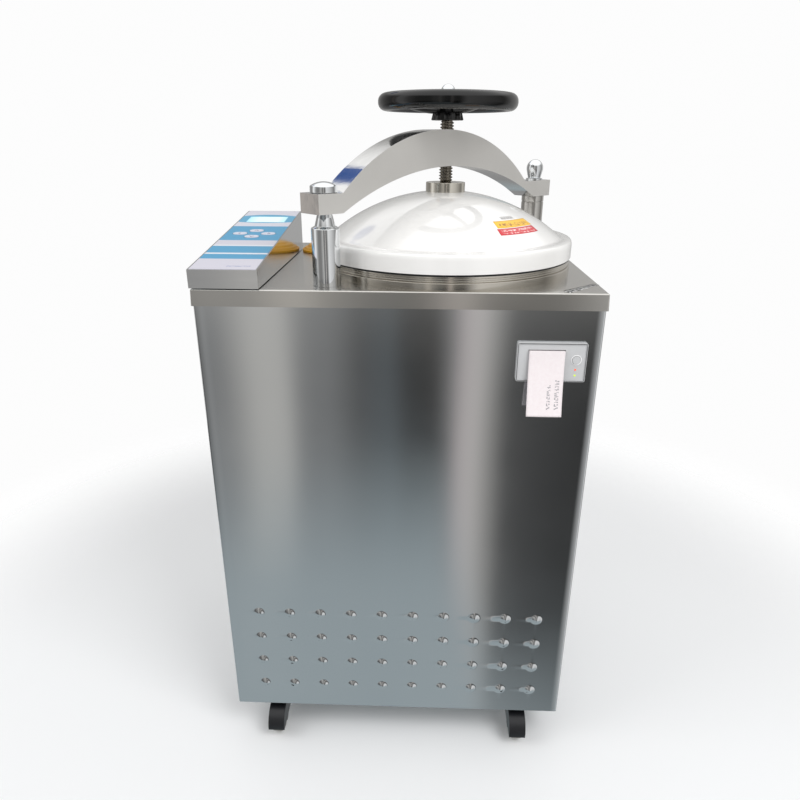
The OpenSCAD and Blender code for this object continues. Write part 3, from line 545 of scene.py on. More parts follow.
def turned_metal(name, light, dark, rough, axis, rings_per_m, depth_mm, anisotropy):
    """Metal cut on a lathe: fine rings about an axis, from noise on the radius and the height."""
    material, tree, bsdf, place = new_material(name, Metallic=1.0, Anisotropic=anisotropy)
    drift(tree, bsdf, place, light, dark, 60, rough, 0.03)
    arm = add(tree, "ShaderNodeVectorMath", {1: (axis[0], axis[1], 0.0)}, {0: place}, operation="SUBTRACT")
    parts = add(tree, "ShaderNodeSeparateXYZ", links={0: arm.outputs[0]})
    flat = add(tree, "ShaderNodeCombineXYZ", links={0: parts.outputs[0], 1: parts.outputs[1]})
    radius = add(tree, "ShaderNodeVectorMath", links={0: flat.outputs[0]}, operation="LENGTH")
    both = add(tree, "ShaderNodeCombineXYZ", links={0: radius.outputs["Value"], 1: parts.outputs[2]})
    relief(tree, bsdf, both.outputs[0], (rings_per_m, rings_per_m, 1.0), depth_mm)
    smear_across(tree, bsdf, around_axis(tree, place, axis))
    return material


def plain_metal(name, light, dark, rough, swing, blotch_mm, grit_per_m, depth_mm):
    """A metal without a grain direction: cast, ground, plated or drawn."""
    material, tree, bsdf, place = new_material(name, Metallic=1.0)
    drift(tree, bsdf, place, light, dark, blotch_mm, rough, swing)
    relief(tree, bsdf, place, grit_per_m, depth_mm)
    return material


finishes = {
    # Brushed 304 sheet: upright bands with soft sides
    "panel_steel": brushed_sheet("brushed_304_sheet", "#DEE0E1", "#D2D5D7", 0.125, (5.0, 5.0, 900.0), 0.004,
                                 0.88),
    # The same sheet on the worktop and the control box, rubbed a little brighter by use
    "worktop_steel": brushed_sheet("rubbed_304_sheet", "#DCDAD5", "#CECCC8", 0.2, (5.0, 800.0, 800.0),
                                   0.006, 0.7),
    # Ground and turned stainless ring: warm, streaked round the ring
    "turned_steel": turned_metal("turned_stainless", "#D5D0C6", "#BDB8AF", 0.17, vessel, 1100.0, 0.0012,
                                 0.7),
    # Pickled deep-drawn stainless inside the vessel: milky grey
    "vessel_steel": plain_metal("pickled_stainless", "#C9CBCB", "#A9ACAE", 0.38, 0.06, 40, 700.0, 0.01),
    # Bright chromium plate on ground steel: almost a mirror
    "chrome": plain_metal("bright_chrome", "#EDEFF0", "#DDE0E3", 0.07, 0.02, 25, 300.0, 0.002),
    # Bright nickel with turning marks: a little yellower and softer than chrome
    "nickel": turned_metal("turned_nickel", "#E0DCD3", "#C4BFB4", 0.16, vessel, 1300.0, 0.008, 0.6),
    # Rolled tool steel under grease: dark in the roots, bright on the flanks
    "screw_steel": plain_metal("greased_screw_steel", "#A8A297", "#5C564D", 0.26, 0.10, 4, 600.0, 0.01),
    # Cast gunmetal nut: brown yellow
    "bronze": plain_metal("gunmetal_nut", "#B58A4E", "#8F6A38", 0.34, 0.06, 12, 900.0, 0.01),
    # Machined yellow brass fittings
    "brass_fitting": plain_metal("machined_brass", "#D9B45C", "#B8923F", 0.24, 0.06, 10, 900.0, 0.008),
    # Annealed nickel-alloy sheath of the heater: straw and grey heat colours
    "element_sheath": plain_metal("annealed_sheath", "#9A8F82", "#5B5A60", 0.42, 0.08, 18, 900.0, 0.01),
}
print("metals", sorted(finishes))

# %% [markdown]
# The yoke is a steel casting. Its broad faces are bead blasted and satin plated, so they read as an even
# warm grey, while its edge faces are polished to a mirror. One piece therefore carries two finishes,
# told apart by the way each face looks.

# %% Yoke finishes
satin, tree, bsdf, place = new_material("satin_plated_casting", Metallic=0.6)
drift(tree, bsdf, place, "#DEDCD8", "#D0CECA", 90, 0.42, 0.03)
relief(tree, bsdf, place, 1400.0, 0.02)
finishes["yoke_satin"] = satin
mirror, tree, bsdf, place = new_material("polished_casting", Metallic=1.0)
drift(tree, bsdf, place, "#E6E6E4", "#D2D2D2", 50, 0.10, 0.03)
relief(tree, bsdf, place, 60.0, 0.15)
finishes["yoke_steel"] = mirror
print("yoke finishes ready")

# %% [markdown]
# ## Plastics, rubber, paper and enamel
# Moulded plastic copies the spark-eroded skin of its mould, a pebble of about half a millimetre. Enamel
# is glass fused to steel: a white body under a clear wet layer with a very slight ripple. Rubber is dull
# and dusty. Each is told from the next by its gloss more than by its colour.

# %% Skins that are not metal


def moulded(name, light, dark, rough, pebble_mm, depth_mm, **shader):
    """A moulded skin: one colour with a slight drift, and the pebble of the mould."""
    material, tree, bsdf, place = new_material(name, **shader)
    drift(tree, bsdf, place, light, dark, 35, rough, 0.04)
    relief(tree, bsdf, place, 1000 / pebble_mm, depth_mm)
    return material


finishes.update({
    # Vitreous white enamel: wet gloss, ripple a couple of centimetres wide
    "white_enamel": moulded("white_vitreous_enamel", "#F3F2F0", "#EEEDEB", 0.14, 22, 0.05, Coat_Weight=1.0,
                            Coat_Roughness=0.04),
    # Phenolic resin handwheel: pressed, black and polished
    "black_bakelite": moulded("black_phenolic", "#060607", "#030303", 0.12, 14, 0.01, Coat_Weight=0.05,
                              Coat_Roughness=0.05),
    # Silicone gasket: dull black with talc
    "black_silicone": moulded("black_silicone_rubber", "#1C1C1D", "#0E0E0F", 0.62, 0.8, 0.02),
    # Membrane keys: matt embossed polyester
    "key_film": moulded("key_polyester", "#D8DAE6", "#CFD1DE", 0.38, 0.9, 0.01),
    # Printer bezel: silver-grey ABS, painted
    "printer_grey": moulded("silver_abs", "#CFD0D1", "#C4C5C7", 0.36, 0.7, 0.02),
    # Switch and printer body: black ABS
    "dark_plastic": moulded("black_abs", "#232426", "#17181A", 0.46, 0.6, 0.03),
    # Filler cap: yellow polypropylene
    "yellow_plastic": moulded("yellow_polypropylene", "#E9AE1E", "#D89A12", 0.36, 1.2, 0.03,
                              Subsurface_Weight=0.08, Subsurface_Scale=0.004),
    # Water tank: blow-moulded natural polyethylene, milky
    "tank_plastic": moulded("milky_polyethylene", "#ECE9DC", "#DFDCCB", 0.42, 3.0, 0.05,
                            Subsurface_Weight=0.2, Subsurface_Scale=0.01),
    # Glass-wool jacket: tufts about a centimetre wide
    "jacket_wool": moulded("glass_wool", "#D9C98E", "#B7A566", 0.92, 6, 2.0),
    # Dipped grip: soft red PVC
    "red_grip": moulded("dipped_red_pvc", "#B3261E", "#9A1C16", 0.34, 4, 0.05),
    # Castor hoods: black nylon
    "castor_black": moulded("black_nylon", "#1B1C20", "#121316", 0.42, 0.8, 0.03),
    # Castor tread: grey thermoplastic rubber, scuffed
    "castor_tyre": moulded("grey_tread_rubber", "#9D9A92", "#77746D", 0.6, 1.5, 0.05),
    # Frame parts out of sight: dark primer on hot-rolled plate
    "frame_steel": moulded("primed_plate", "#4A4B4D", "#3C3D3F", 0.55, 1.0, 0.05),
    # Printed circuit board: green solder mask
    "circuit_board": moulded("solder_mask", "#1F6B3A", "#18552E", 0.30, 3.0, 0.05),
})
print("finishes", len(finishes))

# %% [markdown]
# ## Prints without words
# The real labels carry words, which this model leaves out. Their look, rows of small dark strokes, is
# kept by a print that means nothing: each line is cut into signs, each sign into a few cells, and a
# random number inks a cell or leaves it bare.

# %% Ink pattern


def ink(tree, u, v, signs, lines, cells=5):
    """1 where ink lies: random cells inside signs, with gaps between them. u and v run from 0 to 1."""
    spread = add(tree, "ShaderNodeCombineXYZ", links={0: u, 1: v})
    fine = add(tree, "ShaderNodeVectorMath", {1: (signs * cells, lines * cells, 0.0)},
               {0: spread.outputs[0]}, operation="MULTIPLY")
    whole = add(tree, "ShaderNodeVectorMath", links={0: fine.outputs[0]}, operation="FLOOR")
    chance = add(tree, "ShaderNodeTexWhiteNoise", links={0: whole.outputs[0]})
    inked = add(tree, "ShaderNodeMath", {1: 0.45}, {0: chance.outputs["Value"]}, operation="GREATER_THAN")
    coarse = add(tree, "ShaderNodeVectorMath", {1: (signs, lines, 0.0)}, {0: spread.outputs[0]},
                 operation="MULTIPLY")
    inside = add(tree, "ShaderNodeVectorMath", links={0: coarse.outputs[0]}, operation="FRACTION")
    part = add(tree, "ShaderNodeSeparateXYZ", links={0: inside.outputs[0]})
    between = add(tree, "ShaderNodeMath", {1: 0.8}, {0: part.outputs[0]}, operation="LESS_THAN")
    above = add(tree, "ShaderNodeMath", {1: 0.62}, {0: part.outputs[1]}, operation="LESS_THAN")
    gaps = add(tree, "ShaderNodeMath", links={0: between.outputs[0], 1: above.outputs[0]},
               operation="MULTIPLY")
    return add(tree, "ShaderNodeMath", links={0: gaps.outputs[0], 1: inked.outputs[0]},
               operation="MULTIPLY").outputs[0]


def window(tree, value, low, high):
    """1 between two limits."""
    above = add(tree, "ShaderNodeMath", {1: low}, {0: value}, operation="GREATER_THAN")
    below = add(tree, "ShaderNodeMath", {1: high}, {0: value}, operation="LESS_THAN")
    return add(tree, "ShaderNodeMath", links={0: above.outputs[0], 1: below.outputs[0]},
               operation="MULTIPLY").outputs[0]


def times(tree, *factors):
    """Product of several 0 to 1 masks."""
    product = factors[0]
    for factor in factors[1:]:
        product = add(tree, "ShaderNodeMath", links={0: product, 1: factor},
                      operation="MULTIPLY").outputs[0]
    return product


print("ink pattern ready")

# %% [markdown]
# The control panel is a polyester film printed on its back: pale lavender, three blue fields and a
# blue lens round the display. The print is drawn in the panel's own millimetres. A Mapping node set as a
# texture turns the machine's coordinates into distances across and up the sloping top.

# %% Panel film
box_low, box_high = corners("control_housing")
BOX_FRONT = 31.0
box_rise = box_high[2] - deck_z - BOX_FRONT * MM
tilt = math.atan2(box_rise, box_high[1] - box_low[1])
slope_foot = (float(box_low[0]), float(box_low[1]), float(deck_z + BOX_FRONT * MM))


def slope_axes(tree, place):
    """Distances across and up the sloping top, in millimetres."""
    own = add(tree, "ShaderNodeMapping", {"Location": slope_foot, "Rotation": (tilt, 0.0, 0.0),
                                          "Scale": (MM, MM, MM)},
              {"Vector": place}, vector_type="TEXTURE")
    split = add(tree, "ShaderNodeSeparateXYZ", links={0: own.outputs[0]})
    return split.outputs[0], split.outputs[1]


# The film's length up the slope and the place of its small print, in millimetres
FILM_LONG, PRINT_U, PRINT_V = 410.0, (58.0, 98.0), (17.0, 25.0)
LAVENDER, SKY, PALE, WHITE = "#D5D3DF", "#3D9AC6", "#DCDCE8", "#E6E8EE"
film, tree, bsdf, place = new_material("printed_polyester_film", Roughness=0.3, Coat_Weight=0.2,
                                       Coat_Roughness=0.12)
u, v = slope_axes(tree, place)
share = add(tree, "ShaderNodeMath", {1: FILM_LONG}, {0: v}, operation="DIVIDE")
fields = [(0, LAVENDER), (58, SKY), (86, WHITE), (93, SKY), (135, WHITE), (143, LAVENDER), (174, SKY),
          (277, PALE)]
ground = stepped(tree, share.outputs[0], [(d / FILM_LONG, c) for d, c in fields], "CONSTANT")
centred = add(tree, "ShaderNodeMapRange", {"From Min": 2.5, "From Max": 108.2, "To Min": -1.0,
                                           "To Max": 1.0}, {0: u})
bulge = add(tree, "ShaderNodeMath", {1: 2.0}, {0: centred.outputs[0]}, operation="POWER")
lens_low = add(tree, "ShaderNodeMath", {1: 8.0, 2: 304.0}, {0: bulge.outputs[0]}, operation="MULTIPLY_ADD")
lens_high = add(tree, "ShaderNodeMath", {1: -12.0, 2: 374.0}, {0: bulge.outputs[0]},
                operation="MULTIPLY_ADD")
over_low = add(tree, "ShaderNodeMath", links={0: v, 1: lens_low.outputs[0]}, operation="GREATER_THAN")
under_high = add(tree, "ShaderNodeMath", links={0: v, 1: lens_high.outputs[0]}, operation="LESS_THAN")
lens = times(tree, over_low.outputs[0], under_high.outputs[0])
with_lens = add(tree, "ShaderNodeMix", {7: paint("#4FA6CE")}, {0: lens, 6: ground}, data_type="RGBA")
row_u = add(tree, "ShaderNodeMapRange", {"From Min": PRINT_U[0], "From Max": PRINT_U[1]}, {0: u}).outputs[0]
row_v = add(tree, "ShaderNodeMapRange", {"From Min": PRINT_V[0], "From Max": PRINT_V[1]}, {0: v}).outputs[0]
small_print = times(tree, ink(tree, row_u, row_v, 9, 1), window(tree, u, *PRINT_U),
                    window(tree, v, *PRINT_V))
printed = add(tree, "ShaderNodeMix", {7: paint("#6E7FB0")}, {0: small_print, 6: with_lens.outputs[2]},
              data_type="RGBA")
tree.links.new(printed.outputs[2], bsdf.inputs["Base Color"])
relief(tree, bsdf, place, 1100.0, 0.01)
finishes["panel_film"] = film

# Backlit liquid-crystal window: pale cyan that glows through clear film
glass, tree, bsdf, place = new_material("backlit_display", Roughness=0.12, Base_Color=paint("#CFF3F6"))
u, v = slope_axes(tree, place)
across_window = add(tree, "ShaderNodeMapRange", {"From Min": 18.0, "From Max": 94.0}, {0: u}).outputs[0]
shine = stepped(tree, across_window,
                [(0.0, "#A9DCEB"), (0.25, "#D9FFFF"), (0.8, "#DFFFFF"), (1.0, "#B2E4EE")])
tree.links.new(shine, bsdf.inputs["Base Color"])
tree.links.new(shine, bsdf.inputs["Emission Color"])
bsdf.inputs["Emission Strength"].default_value = 0.35
relief(tree, bsdf, place, 900.0, 0.004)
finishes["display_glass"] = glass
print("panel film and display ready")

# %% [markdown]
# Thermal paper is smooth, thin and slightly pink in daylight. Its printout runs sideways in narrow
# columns on the lower right part of the strip, so the ink pattern is turned by a quarter.

# %% Paper
paper_low, paper_high = corners("paper_strip")
# Print on the strip, in millimetres: column start, end, top and number of signs
PRINT_FOOT, PRINT_LONG = 12.0, 50.0
PRINT_COLUMNS = ((32, 41, 52, 9), (44.5, 55.5, 60, 10))


def printed_paper(name, plain):
    """Coated paper with grey columns of signs; the roll is plain."""
    material, tree, bsdf, place = new_material(name, Roughness=0.48)
    split = add(tree, "ShaderNodeSeparateXYZ", links={0: place})
    fibre = add(tree, "ShaderNodeTexNoise", {"Scale": 220.0, "Detail": 4.0}, {"Vector": place})
    sheet = add(tree, "ShaderNodeMix", {6: paint("#EFE4E6"), 7: paint("#F8F2F3")}, {0: fibre.outputs[0]},
                data_type="RGBA")
    colour = sheet.outputs[2]
    if not plain:
        left, bottom = float(paper_low[0]), float(paper_low[2])
        foot = bottom + PRINT_FOOT * MM
        height = add(tree, "ShaderNodeMapRange", {"From Min": foot, "From Max": foot + PRINT_LONG * MM},
                     {0: split.outputs[2]}).outputs[0]
        for start, end, top, signs in PRINT_COLUMNS:
            near_side, far_side = left + start * MM, left + end * MM
            width = add(tree, "ShaderNodeMapRange", {"From Min": near_side, "From Max": far_side},
                        {0: split.outputs[0]}).outputs[0]
            mask = times(tree, ink(tree, height, width, signs, 1, 5),
                         window(tree, split.outputs[0], near_side, far_side),
                         window(tree, split.outputs[2], foot, bottom + top * MM))
            half = add(tree, "ShaderNodeMath", {1: 0.8}, {0: mask}, operation="MULTIPLY")
            colour = add(tree, "ShaderNodeMix", {7: paint("#8A8A90")}, {0: half.outputs[0], 6: colour},
                         data_type="RGBA").outputs[2]
    tree.links.new(colour, bsdf.inputs["Base Color"])
    relief(tree, bsdf, place, 400.0, 0.01)
    return material


finishes["thermal_paper"] = printed_paper("thermal_paper_roll", True)
finishes["paper_strip"] = printed_paper("thermal_paper_printed", False)
print("paper ready")

# %% [markdown]
# ## Dress the CAD nodes
# Every imported node takes the finish of its slot at once. The ones whose shape is already right stay as
# they are, and the rest are replaced by finer pieces below. A turned part needs its own axis, so the lock
# post gets its own copy of the turned finish.

# %% Finishes onto nodes
finishes["lock_washer"] = finishes["chrome"]
finishes["lock_post"] = turned_metal("turned_post_stainless", "#CFCDC9", "#B9B7B3", 0.20, lock, 1100.0,
                                     0.01, 0.6)


def finish_of(node):
    """The node's own finish if it has one, else its slot's."""
    return finishes.get(node, finishes[slot_of[node]])


for node, thing in nodes.items():
    thing.data.materials.clear()
    thing.data.materials.append(finish_of(node))
print("dressed", len(nodes), "nodes")

# %% [markdown]
# ## Cabinet skin
# One sheet is folded round the left side, the front and the right side, and its lower front carries four
# rows of pressed dimples that stiffen it. The plan path is swept upwards, and each dimple is a smooth
# bump, height x (1 - (d / r)^2)^2. The grid is fine only in the dimples' rows and columns. A sheet this
# size is never quite flat either, so a slow wave of up to 0.4 mm bends the reflections.

# %% Folded sheet with dimples
SHEET, PITCH, DIMPLE_R, DIMPLE_H, BEND = 1.2, 59.4, 11.6, 3.4, 3.0
side_x, face_y, back_y = skin_high[0] / MM, skin_front / MM, skin_high[1] / MM
low_z, high_z = skin_low[2] / MM, skin_high[2] / MM
fold = np.array([[-side_x + 15, back_y], [-side_x, back_y], [-side_x, face_y], [side_x, face_y],
                 [side_x, back_y], [side_x - 15, back_y]])
columns_x = np.arange(-4.5, 5) * PITCH
rows_z = low_z + 56 + np.arange(4) * 0.988 * PITCH
near = np.arange(-12, 12.1, 1.0)
bent = soften(fold, BEND)
to_face = 15 + (back_y - face_y)
plan = dense(bent, 22, (to_face + side_x + columns_x[:, None] + near).ravel())
heights = np.unique(np.concatenate([np.linspace(low_z, high_z, 36),
                                    (rows_z[:, None] + near).ravel()]).round(4))
ahead = np.gradient(plan, axis=0)
outward = np.stack([-ahead[:, 1], ahead[:, 0]], 1) / np.linalg.norm(ahead, axis=1, keepdims=True)
outward *= np.sign(outward[len(outward) // 2] @ [0, -1])
x_at, z_at = plan[:, :1], heights[None, :]
nearest_x = columns_x[np.abs(x_at - columns_x[None, :]).argmin(1)][:, None]
nearest_z = rows_z[np.abs(z_at.T - rows_z[None, :]).argmin(1)][None, :]
away = np.hypot(x_at - nearest_x, z_at - nearest_z) / DIMPLE_R
on_face = np.abs(plan[:, 1:] - face_y) < 0.5
bump = DIMPLE_H * np.clip(1 - away ** 2, 0, None) ** 2 * on_face
calm = np.sin(np.pi * (z_at - low_z) / (high_z - low_z))
wave = -0.2 * calm * (1 + np.sin(x_at / 71 + z_at / 190) * np.cos(x_at / 113 - z_at / 97)) * on_face
stand = (bump + wave)[..., None] * outward[:, None]
upright = np.broadcast_to(z_at[..., None], (len(plan), len(heights), 1))
outer = np.concatenate([plan[:, None] + stand, upright], 2)
inner = outer - SHEET * np.append(outward, np.zeros((len(plan), 1)), 1)[:, None]
skin = piece("cabinet_skin", (MM * np.concatenate([outer, inner[:, ::-1]], 1), False, True))
bezel_low, bezel_high = corners("printer_bezel")
BEZEL_LAP, SWITCH_LAP = 3.0, 2.2
hole = (bezel_low[0] / MM + BEZEL_LAP, bezel_high[0] / MM - BEZEL_LAP,
        bezel_low[2] / MM + BEZEL_LAP, bezel_high[2] / MM - BEZEL_LAP)
switch_low, switch_high = corners("switch_housing")
side_hole = (switch_low[1] / MM + SWITCH_LAP, switch_high[1] / MM - SWITCH_LAP,
             switch_low[2] / MM + SWITCH_LAP, switch_high[2] / MM - SWITCH_LAP)


def window_tool(limits, e, f, start, end):
    """A box for cutting: limits across e and f, between two distances along their normal."""
    a0, a1, b0, b1 = limits
    return prism(np.array([[a0, b0], [a1, b0], [a1, b1], [a0, b1]]), start, end, e=e, f=f)


bore(skin, window_tool(hole, EAST, UP, -face_y - 4, -face_y + 6),
     window_tool(side_hole, NORTH, UP, -side_x - 4, -side_x + 4))
skin.data.shade_smooth()
skin.data.set_sharp_from_angle(angle=math.radians(40))
stand_for(skin, "cabinet_wrap")

# %% [markdown]
# ## Worktop
# The worktop is a tray turned upside down: a flat top whose four edges are folded down. Folding leaves a
# soft edge, and the lip leans out a little, which is why it catches more light than the cabinet below.
# The section is carried round a rectangle by moving each of its points in from the edge, then the holes
# for the vessel, the posts and the filler are bored.

# %% Folded worktop
LIP, TRAY_SHEET, LEAN = 27.0, 1.5, 1.3
half_w, half_d = deck_high[0] / MM, deck_high[1] / MM


def frame_round(section, corner, half_a, half_b):
    """Carries (inset, height) points round a rectangle whose corners shrink as the inset grows."""
    a = np.radians(np.arange(0, 360, 6)) + np.radians(3)
    quadrant = np.stack([np.sign(np.cos(a)), np.sign(np.sin(a))], 1)
    inset, height = np.asarray(section, float).T
    r = np.maximum(corner - inset, 0.01)[:, None, None]
    hub = np.array([half_a, half_b]) - np.maximum(inset, corner)[:, None, None]
    xy = quadrant * hub + r * np.stack([np.cos(a), np.sin(a)], 1)
    return np.concatenate([xy, np.broadcast_to(height[:, None, None], (*xy.shape[:2], 1))], 2)


tray_outer = soften([[20, 0], [LEAN, 0], [0, -LIP]], 2.4)
tray_inner = soften([[TRAY_SHEET, -LIP], [LEAN + TRAY_SHEET, -TRAY_SHEET], [20, -TRAY_SHEET]], 1.2)
section = np.concatenate([tray_outer, tray_inner])
grid = np.array([0, 0, deck_z]) + MM * frame_round(section, 3, half_w, half_d)
worktop = piece("worktop", (grid, False, True), sharp=50)


def round_hole(centre, radius):
    """A cylinder for cutting through the worktop, about an upright axis."""
    return lathe([[radius, -5], [radius, 5]], np.append(centre[:2], deck_z), steps=144)


filler = middle("filler_cap")
CABLE_BACK = 330.0
cable_hole = np.array([(box_low[0] + box_high[0]) / 2, front_y + CABLE_BACK * MM])
bore(worktop, round_hole(vessel, 206), round_hole(pivot, 23), round_hole(lock, 23),
     round_hole(filler, 20.6), round_hole(cable_hole, 20))
worktop.data.shade_smooth()
worktop.data.set_sharp_from_angle(angle=math.radians(40))
stand_for(worktop, "deck_plate")

# %% [markdown]
# ## Vessel mouth
# The sealing flange is a thick turned ring with two fine grooves cut round it. A thinner trim ring
# closes the gap to the worktop below it. Both are lathe profiles, with a small chamfer that draws a
# bright line along each edge.

# %% Flange and trim
flange = [[200, 12], [229, 12], [229, 14.5], [228.4, 15], [229, 15.5], [229, 18], [228.4, 18.5], [229, 19],
          [229, 22], [200, 22]]
edge_radii = [0.5, 0.8, 0.12, 0.12, 0.12, 0.12, 0.12, 0.12, 0.8, 0.5]
stand_for(piece("sealing_flange", lathe(soften(flange, edge_radii, True, 3), vessel, steps=180,
                                        closed=True), sharp=50), "chamber_flange")
trim = [[203.4, 0], [231.5, 0], [231.5, 12], [203.4, 12]]
stand_for(piece("trim_ring", lathe(soften(trim, [0.3, 0.3, 1.2, 0.3], True), vessel, steps=180,
                                   closed=True), sharp=50), "collar_trim")

# %% [markdown]
# ## Lid
# The lid is a deep-drawn steel cover, enamelled white. From the middle out it is a dome, a shallow
# valley where the dome meets the brim, a rounded shoulder and an upright rim. One closed profile goes
# out along the top and back along the underside, so the cover has its true wall.

# %% Enamelled cover
DOME_R, DOME_TOP, LID_R, WALL = 325.5, 134.5, 232.0, 2.5


def dome(r):
    """Height of the dome: top - R + sqrt(R^2 - r^2)."""
    return DOME_TOP - DOME_R + np.sqrt(DOME_R ** 2 - np.asarray(r, float) ** 2)


r_dome = np.linspace(30, 204, 32)
brow = np.stack([r_dome, dome(r_dome)], 1)
brim = np.array([[211.5, dome(211.5)], [223, 57.5], [LID_R, 54.5], [LID_R, 25.4]])
top_side = np.concatenate([brow, soften(np.concatenate([brow[-1:], brim]), [1, 6, 5, 9, 1], steps=9)[1:]])
under = np.array([[229.5, 25], [229.5, 52.5], [223, 54.6], [211.5, dome(211.5) - WALL]])
under_side = np.concatenate([soften(under, [1, 6, 5, 1], steps=6),
                             np.stack([r_dome, dome(r_dome) - WALL], 1)[::-1]])
cover = np.concatenate([top_side, under_side])
stand_for(piece("enamelled_cover", lathe(cover, vessel, steps=192, closed=True), sharp=60), "lid_shell")

# %% [markdown]
# The warning label on the dome is three stuck strips: grey, yellow and red. Each is a patch of the dome
# itself, lifted by the thickness of the vinyl, with its own UV map for the ink, as a print follows the
# surface it is stuck to.

# %% Stickers
VINYL, VINYL_LIFT = 0.12, 0.15


def patch(name, r0, r1, a0, a1):
    """A piece of the dome between two radii and two angles, with UV (along the arc, up the slope)."""
    r = np.linspace(r1, r0, 8)[:, None]
    a = np.radians(np.linspace(a0, a1, 28))[None, :]
    z = dome(r) + VINYL_LIFT + 0 * a
    points = vessel + MM * np.stack([r * np.cos(a), r * np.sin(a), z], -1)
    made = piece(name, (points, False, False), closed=False)
    made.data.uv_layers.new(name="print")
    corner = np.empty(len(made.data.loops), np.int32)
    made.data.loops.foreach_get("vertex_index", corner)
    spots = np.empty(len(made.data.vertices) * 3)
    made.data.vertices.foreach_get("co", spots)
    spots = spots.reshape(-1, 3) - vessel
    turn = (np.degrees(np.arctan2(spots[:, 1], spots[:, 0])) - a0) / (a1 - a0)
    out = (r1 - np.hypot(spots[:, 0], spots[:, 1]) / MM) / (r1 - r0)
    made.data.uv_layers[0].data.foreach_set("uv", np.stack([turn, out], 1)[corner].ravel())
    return thicken(made, VINYL)


def label(name, ground, mark, signs, lines, edge=0.08, cells=5):
    """Printed vinyl: a ground colour with rows of meaningless marks inside a plain margin."""
    material, tree, bsdf, place = new_material(name, Roughness=0.3, Coat_Weight=0.25, Coat_Roughness=0.1)
    uv = add(tree, "ShaderNodeUVMap", uv_map="print").outputs[0]
    split = add(tree, "ShaderNodeSeparateXYZ", links={0: uv})
    u, v = split.outputs[0], split.outputs[1]
    marks = times(tree, ink(tree, u, v, signs, lines, cells), window(tree, u, edge, 1 - edge),
                  window(tree, v, 0.14, 0.94))
    both = add(tree, "ShaderNodeMix", {6: paint(ground), 7: paint(mark)}, {0: marks}, data_type="RGBA")
    tree.links.new(both.outputs[2], bsdf.inputs["Base Color"])
    relief(tree, bsdf, place, 900.0, 0.004)
    return material


grey_tag = label("grey_vinyl", "#C9C7C4", "#77757A", 5, 1, edge=0.05)
yellow_tag = label("yellow_vinyl", "#F6C12A", "#A8741B", 6, 1, cells=7)
red_tag = label("red_vinyl", "#CF2B35", "#F3D6D4", 9, 2, cells=4)
lie_on(patch("tag_grey", 144.5, 151.5, -53, -41.5), "lid_shell", grey_tag)
lie_on(patch("tag_yellow", 154.5, 170.5, -61, -31.5), "lid_shell", yellow_tag)
lie_on(patch("tag_red", 172, 185, -62, -32.5), "lid_shell", red_tag)

# %% [markdown]
# ## Screw, seat and wheel
# The lifting screw has a trapezoidal thread. A thread is a radius that depends on height and angle
# together: the share h / pitch - angle / turn, wrapped to 0..1, says where on the tooth a point is, and
# a trapezoid of that share gives the radius. The turned seat on the lid holds its end.

# %% Threaded screw
PITCH_SCREW, ROOT, CREST = 5.0, 9.6, 12.0
seat_high = corners("screw_seat")[1]
hub_low = corners("handwheel")[0]
seat_top = (seat_high[2] - deck_z) / MM
thread_z = np.arange(seat_top + 0.3, (hub_low[2] - deck_z) / MM + 0.01, 0.35)
turns = np.linspace(0, 2 * np.pi, 48, endpoint=False)
share = (thread_z[:, None] / PITCH_SCREW - turns[None, :] / (2 * np.pi)) % 1
tooth = np.interp(share, [0, 0.12, 0.28, 0.62, 0.78, 1], [0, 0, 1, 1, 0, 0])
fade = np.clip(np.minimum(thread_z - thread_z[0], thread_z[-1] - thread_z) / 3, 0, 1)[:, None]
radius = ROOT + (CREST - ROOT) * tooth * fade
winding = np.stack([radius * np.cos(turns), radius * np.sin(turns),
                    np.broadcast_to(thread_z[:, None], radius.shape)], -1)
head = lathe([[0, 120.3], [15, 120.3], [15, 142.7], [9, 142.7], [9, 150], [0, 150]], vessel, steps=48)
shank = lathe([[0, thread_z[-1] - 1], [8, thread_z[-1] - 1], [8, 293], [0, 293]], vessel, steps=48)
screw = piece("threaded_screw", (vessel + MM * winding, False, True), head, shank, sharp=28)
stand_for(screw, "lift_screw")

# %% Seat and acorn nut
seat_path = [[29.7, 120], [29.7, 129.7], [35.3, 129.7], [35.3, 149], [11, 149], [11, 143], [15.05, 143],
             [15.05, 120]]
seat_body = soften(seat_path, [0.3, 0.3, 1.2, 1.2, 0.6, 0.3, 0.3, 0.3], True)
stand_for(piece("turned_seat", lathe(seat_body, vessel, closed=True), sharp=40), "screw_seat")
nut_base = 272.0
acorn = np.concatenate([[[0, nut_base], [11.9, nut_base], [12.5, nut_base + 0.6], [12.5, nut_base + 23]],
                        arc((0, nut_base + 24.4), 12.6, 6, 90)])
stand_for(piece("acorn_nut", lathe(acorn, vessel, steps=72), sharp=45), "wheel_nut")

# %% [markdown]
# The handwheel is pressed from black phenolic resin. Its rim is an oval ring, its hub has eight grip
# lugs, and three dished arms join the two. The arms are tubes with an oval section that widens to the
# hub, and they run into both ends the way a moulding flows together.

